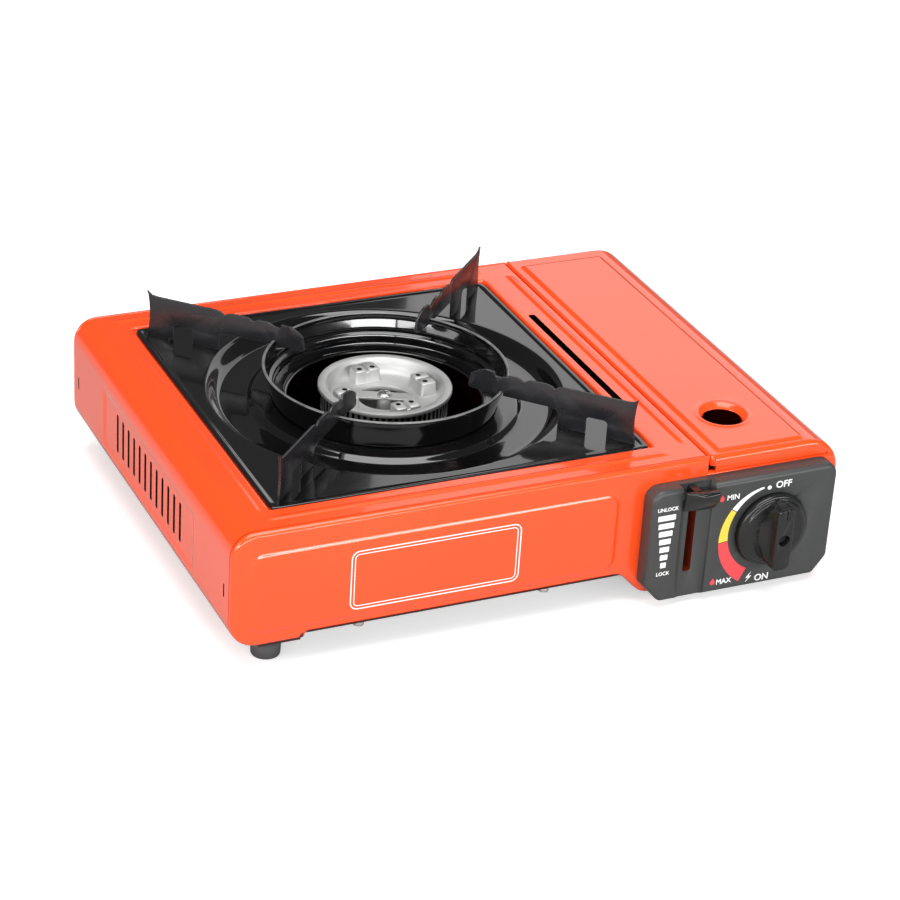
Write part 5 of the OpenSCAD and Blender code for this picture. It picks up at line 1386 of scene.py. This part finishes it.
class StoveLead(bpy.types.Operator):
    """Lay the igniter's lead along its route"""
    bl_idname = "stove.lead"
    bl_label = "Igniter lead"

    def execute(self, context):
        piezo_lo, piezo_hi = node_box("piezo_igniter")
        rod_lo, rod_hi = node_box("electrode_insulator")
        x, y, z = midpoint(piezo_lo, piezo_hi)[0], piezo_hi[1], piezo_lo[2] + 8.0
        ex, ey, _ = midpoint(rod_lo, rod_hi)
        reach, gate, lead_r = math.hypot(ex - TRAY_X, ey - TRAY_Y), FRONT + 40.0, 1.1

        def beside(a, r, up=0.0):
            return about_burner([math.radians(a)], r, z + up)[0]

        route = [(x, y, z), (x, y + 5, z), (x - 9, gate - 1, z), (LEVER_X - 1, gate + 1, z),
                 (BAY_LEFT - 6, gate + 9, z), beside(-36, 82)]
        route += [beside(a, reach + (75 - a) / 10) for a in (-10, 26, 50)]
        route += [beside(63, reach + 1, 3.0), (ex, ey, z + 12), (ex, ey, rod_lo[2])]
        lead = swept("igniter_lead_wire", softened_path(route), lead_r, 12)
        finish_piece(lead, "rubber", "housing", ("igniter_lead",))
        return {"FINISHED"}


# Printed marks: places in X and Z on the control panel and the front, in millimetres

DIAL_INNER, DIAL_GROW, DIAL_FIRST, DIAL_LAST = 25.3, 7.3, 104.5, 242.0
FIRST_BAR, LAST_BAR, BAR_HALF_H = (5.1, 63.2, 55.3), (1.6, 63.7, 27.1), 1.55
WORDS = (("OFF", 131.2, 63.7, 5.4), ("ON", 124.3, 8.8, 5.4), ("MIN", 101.5, 60.9, 4.2),
         ("MAX", 101.3, 10.5, 4.2), ("UNLOCK", 63.4, 60.2, 2.9), ("LOCK", 64.0, 21.9, 2.9))
SPARK_X, SPARK_Z, OFF_DOT = 116.1, 10.3, (122.7, 63.0, 1.2)
DROPS, DROP_H = ((94.8, 61.2), (94.6, 11.4)), 4.0
FRAME_BOX, FRAME_CORNER, FRAME_LINES = (-108.0, 28.0, -15.0, 62.0), 4.5, ((0.15, 0.6), (2.0, 0.45))
PRINT_SINK = 0.02


def slab(shape, outline):
    """A thin printed mark on the control panel's face."""
    shape.prism(outline, FACE - control_size("print_height"), FACE + PRINT_SINK)


def lettering(shape, words, x, z, height):
    """Plain words on the control panel's face, centred on x and z."""
    half = control_size("print_height") / 2
    text = bpy.data.curves.new("words", "FONT")
    text.body = words
    text.size = height * MM
    text.align_x, text.align_y = "CENTER", "CENTER"
    text.extrude = half * MM
    text.offset = 0.018 * height * MM
    holder = placed("words", text)
    mesh = evaluated_mesh(holder)
    mesh.transform(Matrix.Translation(Vector((x, FACE - half, z)) * MM)
                   @ Matrix.Rotation(math.radians(90), 4, "X"))
    shape.bm.from_mesh(mesh)
    bpy.data.objects.remove(holder)
    bpy.data.curves.remove(text)
    bpy.data.meshes.remove(mesh)


def dial_part(a0, a1):
    """A part of the dial's band, which widens from OFF to ON."""
    n = 20
    outer, inner = [], []
    for a in [a0 + (a1 - a0) * k / n for k in range(n + 1)]:
        c, s = math.cos(math.radians(a)), math.sin(math.radians(a))
        r = DIAL_INNER + 1.0 + DIAL_GROW * (a - DIAL_FIRST) / (DIAL_LAST - DIAL_FIRST)
        outer.append((KNOB_X + r * c, KNOB_Z + r * s))
        inner.append((KNOB_X + DIAL_INNER * c, KNOB_Z + DIAL_INNER * s))
    return outer + inner[::-1]


def drop_mark(x, z, h):
    """A small flame drop."""
    side = [(0.0, 0.5), (0.16, 0.3), (0.34, 0.02), (0.36, -0.2), (0.24, -0.42), (0.0, -0.5),
            (-0.24, -0.42), (-0.36, -0.2), (-0.32, 0.02), (-0.12, 0.2)]
    return [(x + a * h, z + b * h) for a, b in reversed(side)]


def pinstripes(shape):
    """The two lines of the empty frame on the front panel's raised field."""
    face = FRONT - body_size("field_rise")
    for d, width in FRAME_LINES:
        outer = inset(round_rect(*FRAME_BOX, FRAME_CORNER), d)
        inner = inset(outer, width)
        top, foot = face - control_size("print_height"), face + PRINT_SINK
        shape.hoop([[(x, y, z) for x, z in line]
                    for line, y in ((outer, top), (inner, top), (inner, foot), (outer, foot))])


class StovePrints(bpy.types.Operator):
    """Print the marks on the control panel and the pinstripe frame on the front"""
    bl_idname = "stove.prints"
    bl_label = "Printed marks"

    def execute(self, context):
        bars = context.scene.stove_controls.bar_count
        white, yellow, red = Shape(), Shape(), Shape()
        for t in [k / (bars - 1) for k in range(bars)]:
            half, x, z = (a + (b - a) * t for a, b in zip(FIRST_BAR, LAST_BAR))
            slab(white, round_rect(x - half, z - BAR_HALF_H, x + half, z + BAR_HALF_H, 0.25, 2))
        for shape, a0, a1 in ((white, DIAL_FIRST, 148.0), (yellow, 149.0, 187.5), (red, 188.5, DIAL_LAST)):
            slab(shape, dial_part(a0, a1))
        slab(white, arc(*OFF_DOT, 0, 340, 17))
        for words in WORDS:
            lettering(white, *words)
        spark = [(1.6, 3.0), (-1.6, -0.3), (0.2, -0.3), (-1.6, -3.0), (1.9, 0.6), (0.1, 0.6)]
        slab(white, [(SPARK_X + x, SPARK_Z + z) for x, z in spark])
        for x, z in DROPS:
            slab(red, drop_mark(x, z, DROP_H))
        pinstripes(white)
        for name, shape in (("print_white", white), ("print_yellow", yellow), ("print_red", red)):
            finish_piece(shape.piece(name, weld=0.0005), name, "housing", angle=30)
        return {"FINISHED"}


# Solids that stay as they are

# Base plate and bay pan are darkened inside as painted shade; the knob's screw is near black as painted shade
# of its hole
OWN_FINISH = {"base_plate": "inner_paint", "bay_pan": "bay_paint", "burner_strip": "cast_alloy",
              "knob_screw": "soot"}
SOLID_WELD, SOLID_ROUND, SOLID_ANGLE = 0.005, 0.25, 40


class StoveSolids(bpy.types.Operator):
    """Finish the solids that stay as they are"""
    bl_idname = "stove.solids"
    bl_label = "Inner solids"

    def execute(self, context):
        slots = {part["node"]: part["material_slot"] for part in frame["record"]["subparts"]}
        for name, obj in NODES.items():
            if obj.hide_render:
                continue
            material = FINISHES[OWN_FINISH.get(name, slots[name])]
            if not obj.material_slots:
                obj.data.materials.append(material)
            for place in obj.material_slots:
                place.link = "OBJECT"
                place.material = material
            weld = obj.modifiers.new("weld", "WELD")
            weld.merge_threshold = SOLID_WELD * MM
            edge = obj.modifiers.new("edges", "BEVEL")
            edge.width = SOLID_ROUND * MM
            edge.segments = 2
            edge.limit_method = "ANGLE"
            edge.angle_limit = math.radians(SOLID_ANGLE)
            edge.harden_normals = True
        return {"FINISHED"}


# Stage: lights in metres and watts, the camera's aim in millimetres

CAMERA_LENS, SENSOR_WIDTH = 115.14, 36.0
CAMERA_TURN, CAMERA_RISE, CAMERA_ROLL = math.radians(-25.78), math.radians(28.14), math.radians(3.745)
AIM, AIM_SIDE, AIM_UP, AIM_DISTANCE = (TRAY_X, TRAY_Y, TRAY_FLAT), 34.7, 33.5, 1534.0
FLOOR_HALF, FLOOR_Z, FLOOR_GLOW = 6000, -0.05, 0.4
FLOOR_BOUNCE = (0.45, 0.45, 0.45, 1.0)
ROOM_STRENGTH = 0.12
# Name, place, aim, width and height, power
LIGHTS = (("key_softbox", (-0.1, -0.25, 1.6), (0.0, 0.0, 0.05), (1.3, 1.3), 26.0),
          ("front_strip_left", (-1.34, -0.96, 0.6), (0.0, 0.0, 0.08), (1.2, 0.2), 9.0),
          ("front_strip_middle", (-0.3, -1.6, 0.55), (0.0, 0.0, 0.08), (1.3, 0.2), 13.0),
          ("front_strip_right", (0.85, -1.4, 0.6), (0.0, 0.0, 0.08), (1.2, 0.2), 11.0),
          ("left_fill", (-1.6, -0.3, 0.7), (0.0, 0.0, 0.05), (1.0, 1.0), 10.0),
          ("back_softbox", (0.72, 0.74, 0.56), (0.0, 0.0, 0.08), (0.8, 0.6), 1.6))


def lay_floor(colour_of_floor):
    """A pale floor, seen white by the camera and greyer by the pieces that mirror it."""
    shape = Shape()
    a = FLOOR_HALF
    shape.cap(shape.ring([(x, y, FLOOR_Z) for x, y in ((-a, -a), (a, -a), (a, a), (-a, a))]))
    floor = shape.piece("floor", inside=(0, 0, -900))
    pale = finish("pale_floor", colour_of_floor, 2, 60, (0.7, 0.8), 0.99, 0.0)
    tree = pale.node_tree
    surface = tree.nodes["Principled BSDF"]
    plain = surface.inputs["Base Color"].links[0].from_node
    seen = add(tree, "ShaderNodeLightPath")
    dim = add(tree, "ShaderNodeMix", {"A": FLOOR_BOUNCE}, data_type="RGBA")
    wire(tree, (plain, "Result", dim, "B"), (seen, "Is Camera Ray", dim, "Factor"),
         (dim, "Result", surface, "Base Color"), (seen, "Is Camera Ray", surface, "Emission Color"))
    surface.inputs["Emission Strength"].default_value = FLOOR_GLOW
    floor.data.materials.append(pale)


def hang_lights(scene):
    """The soft room and its area lights."""
    world = bpy.data.worlds.new("soft_room")
    world.use_nodes = True
    room = world.node_tree.nodes["Background"]
    room.inputs["Color"].default_value = (1.0, 1.0, 1.0, 1.0)
    room.inputs["Strength"].default_value = ROOM_STRENGTH
    scene.world = world
    for name, place, aim, extent, power in LIGHTS:
        lamp = bpy.data.lights.new(name, "AREA")
        lamp.shape = "RECTANGLE"
        lamp.size, lamp.size_y = extent
        lamp.energy = power
        holder = placed(name, lamp)
        holder.location = place
        holder.rotation_euler = (Vector(aim) - Vector(place)).to_track_quat("-Z", "Y").to_euler()


def set_camera(scene):
    """The camera, turned about the tray's middle, raised and rolled a little."""
    level = math.cos(CAMERA_RISE)
    back = Vector((math.sin(CAMERA_TURN) * level, -math.cos(CAMERA_TURN) * level, math.sin(CAMERA_RISE)))
    side = (-back).cross(Vector((0, 0, 1))).normalized()
    up = side.cross(-back)
    across = side * math.cos(CAMERA_ROLL) + up * math.sin(CAMERA_ROLL)
    upward = up * math.cos(CAMERA_ROLL) - side * math.sin(CAMERA_ROLL)
    data = bpy.data.cameras.new("camera")
    data.lens, data.sensor_width = CAMERA_LENS, SENSOR_WIDTH
    data.clip_start, data.clip_end = 0.05, 50.0
    camera = placed("camera", data)
    at = (Vector(AIM) + across * AIM_SIDE - upward * AIM_UP + back * AIM_DISTANCE) * MM
    camera.matrix_world = Matrix.Translation(at) @ Matrix((across, upward, back)).transposed().to_4x4()
    scene.camera = camera


class StoveStage(bpy.types.Operator):
    """Set the floor, the lights and the camera"""
    bl_idname = "stove.stage"
    bl_label = "Stage"

    def execute(self, context):
        scene = context.scene
        scene.view_settings.view_transform = "Standard"
        lay_floor(scene.stove_colours.floor)
        hang_lights(scene)
        set_camera(scene)
        return {"FINISHED"}


class StovePanel(bpy.types.Panel):
    """Lists what builds the stove"""
    bl_idname = "VIEW3D_PT_stove"
    bl_label = "Portable Gas Stove"
    bl_space_type = "VIEW_3D"
    bl_region_type = "UI"
    bl_category = "Stove"

    def draw(self, context):
        for group in GROUPS:
            box = self.layout.box()
            values = getattr(context.scene, group)
            for key in values.__annotations__:
                box.prop(values, key)
        for step in STEPS:
            self.layout.operator(step.bl_idname)


STEPS = (StoveFinishes, StoveStage, StoveEndPanels, StoveShell, StoveLid, StoveFeet, StoveTray, StoveSupports,
         StoveBurner, StoveControlPanel, StoveKnob, StoveLever, StoveLead, StovePrints, StoveSolids)
GROUPS = {"stove_body": StoveBodySizes, "stove_burner": StoveBurnerSizes, "stove_controls": StoveControlSizes,
          "stove_colours": StoveFinishColours}


def register():
    for kind in (*GROUPS.values(), *STEPS, StovePanel):
        bpy.utils.register_class(kind)
    for name, kind in GROUPS.items():
        setattr(bpy.types.Scene, name, PointerProperty(type=kind))


def unregister():
    for name in GROUPS:
        delattr(bpy.types.Scene, name)
    for kind in reversed((*GROUPS.values(), *STEPS, StovePanel)):
        bpy.utils.unregister_class(kind)


def main():
    register()
    for step in STEPS:
        space, action = step.bl_idname.split(".")
        getattr(getattr(bpy.ops, space), action)()


if __name__ == "__main__":
    main()
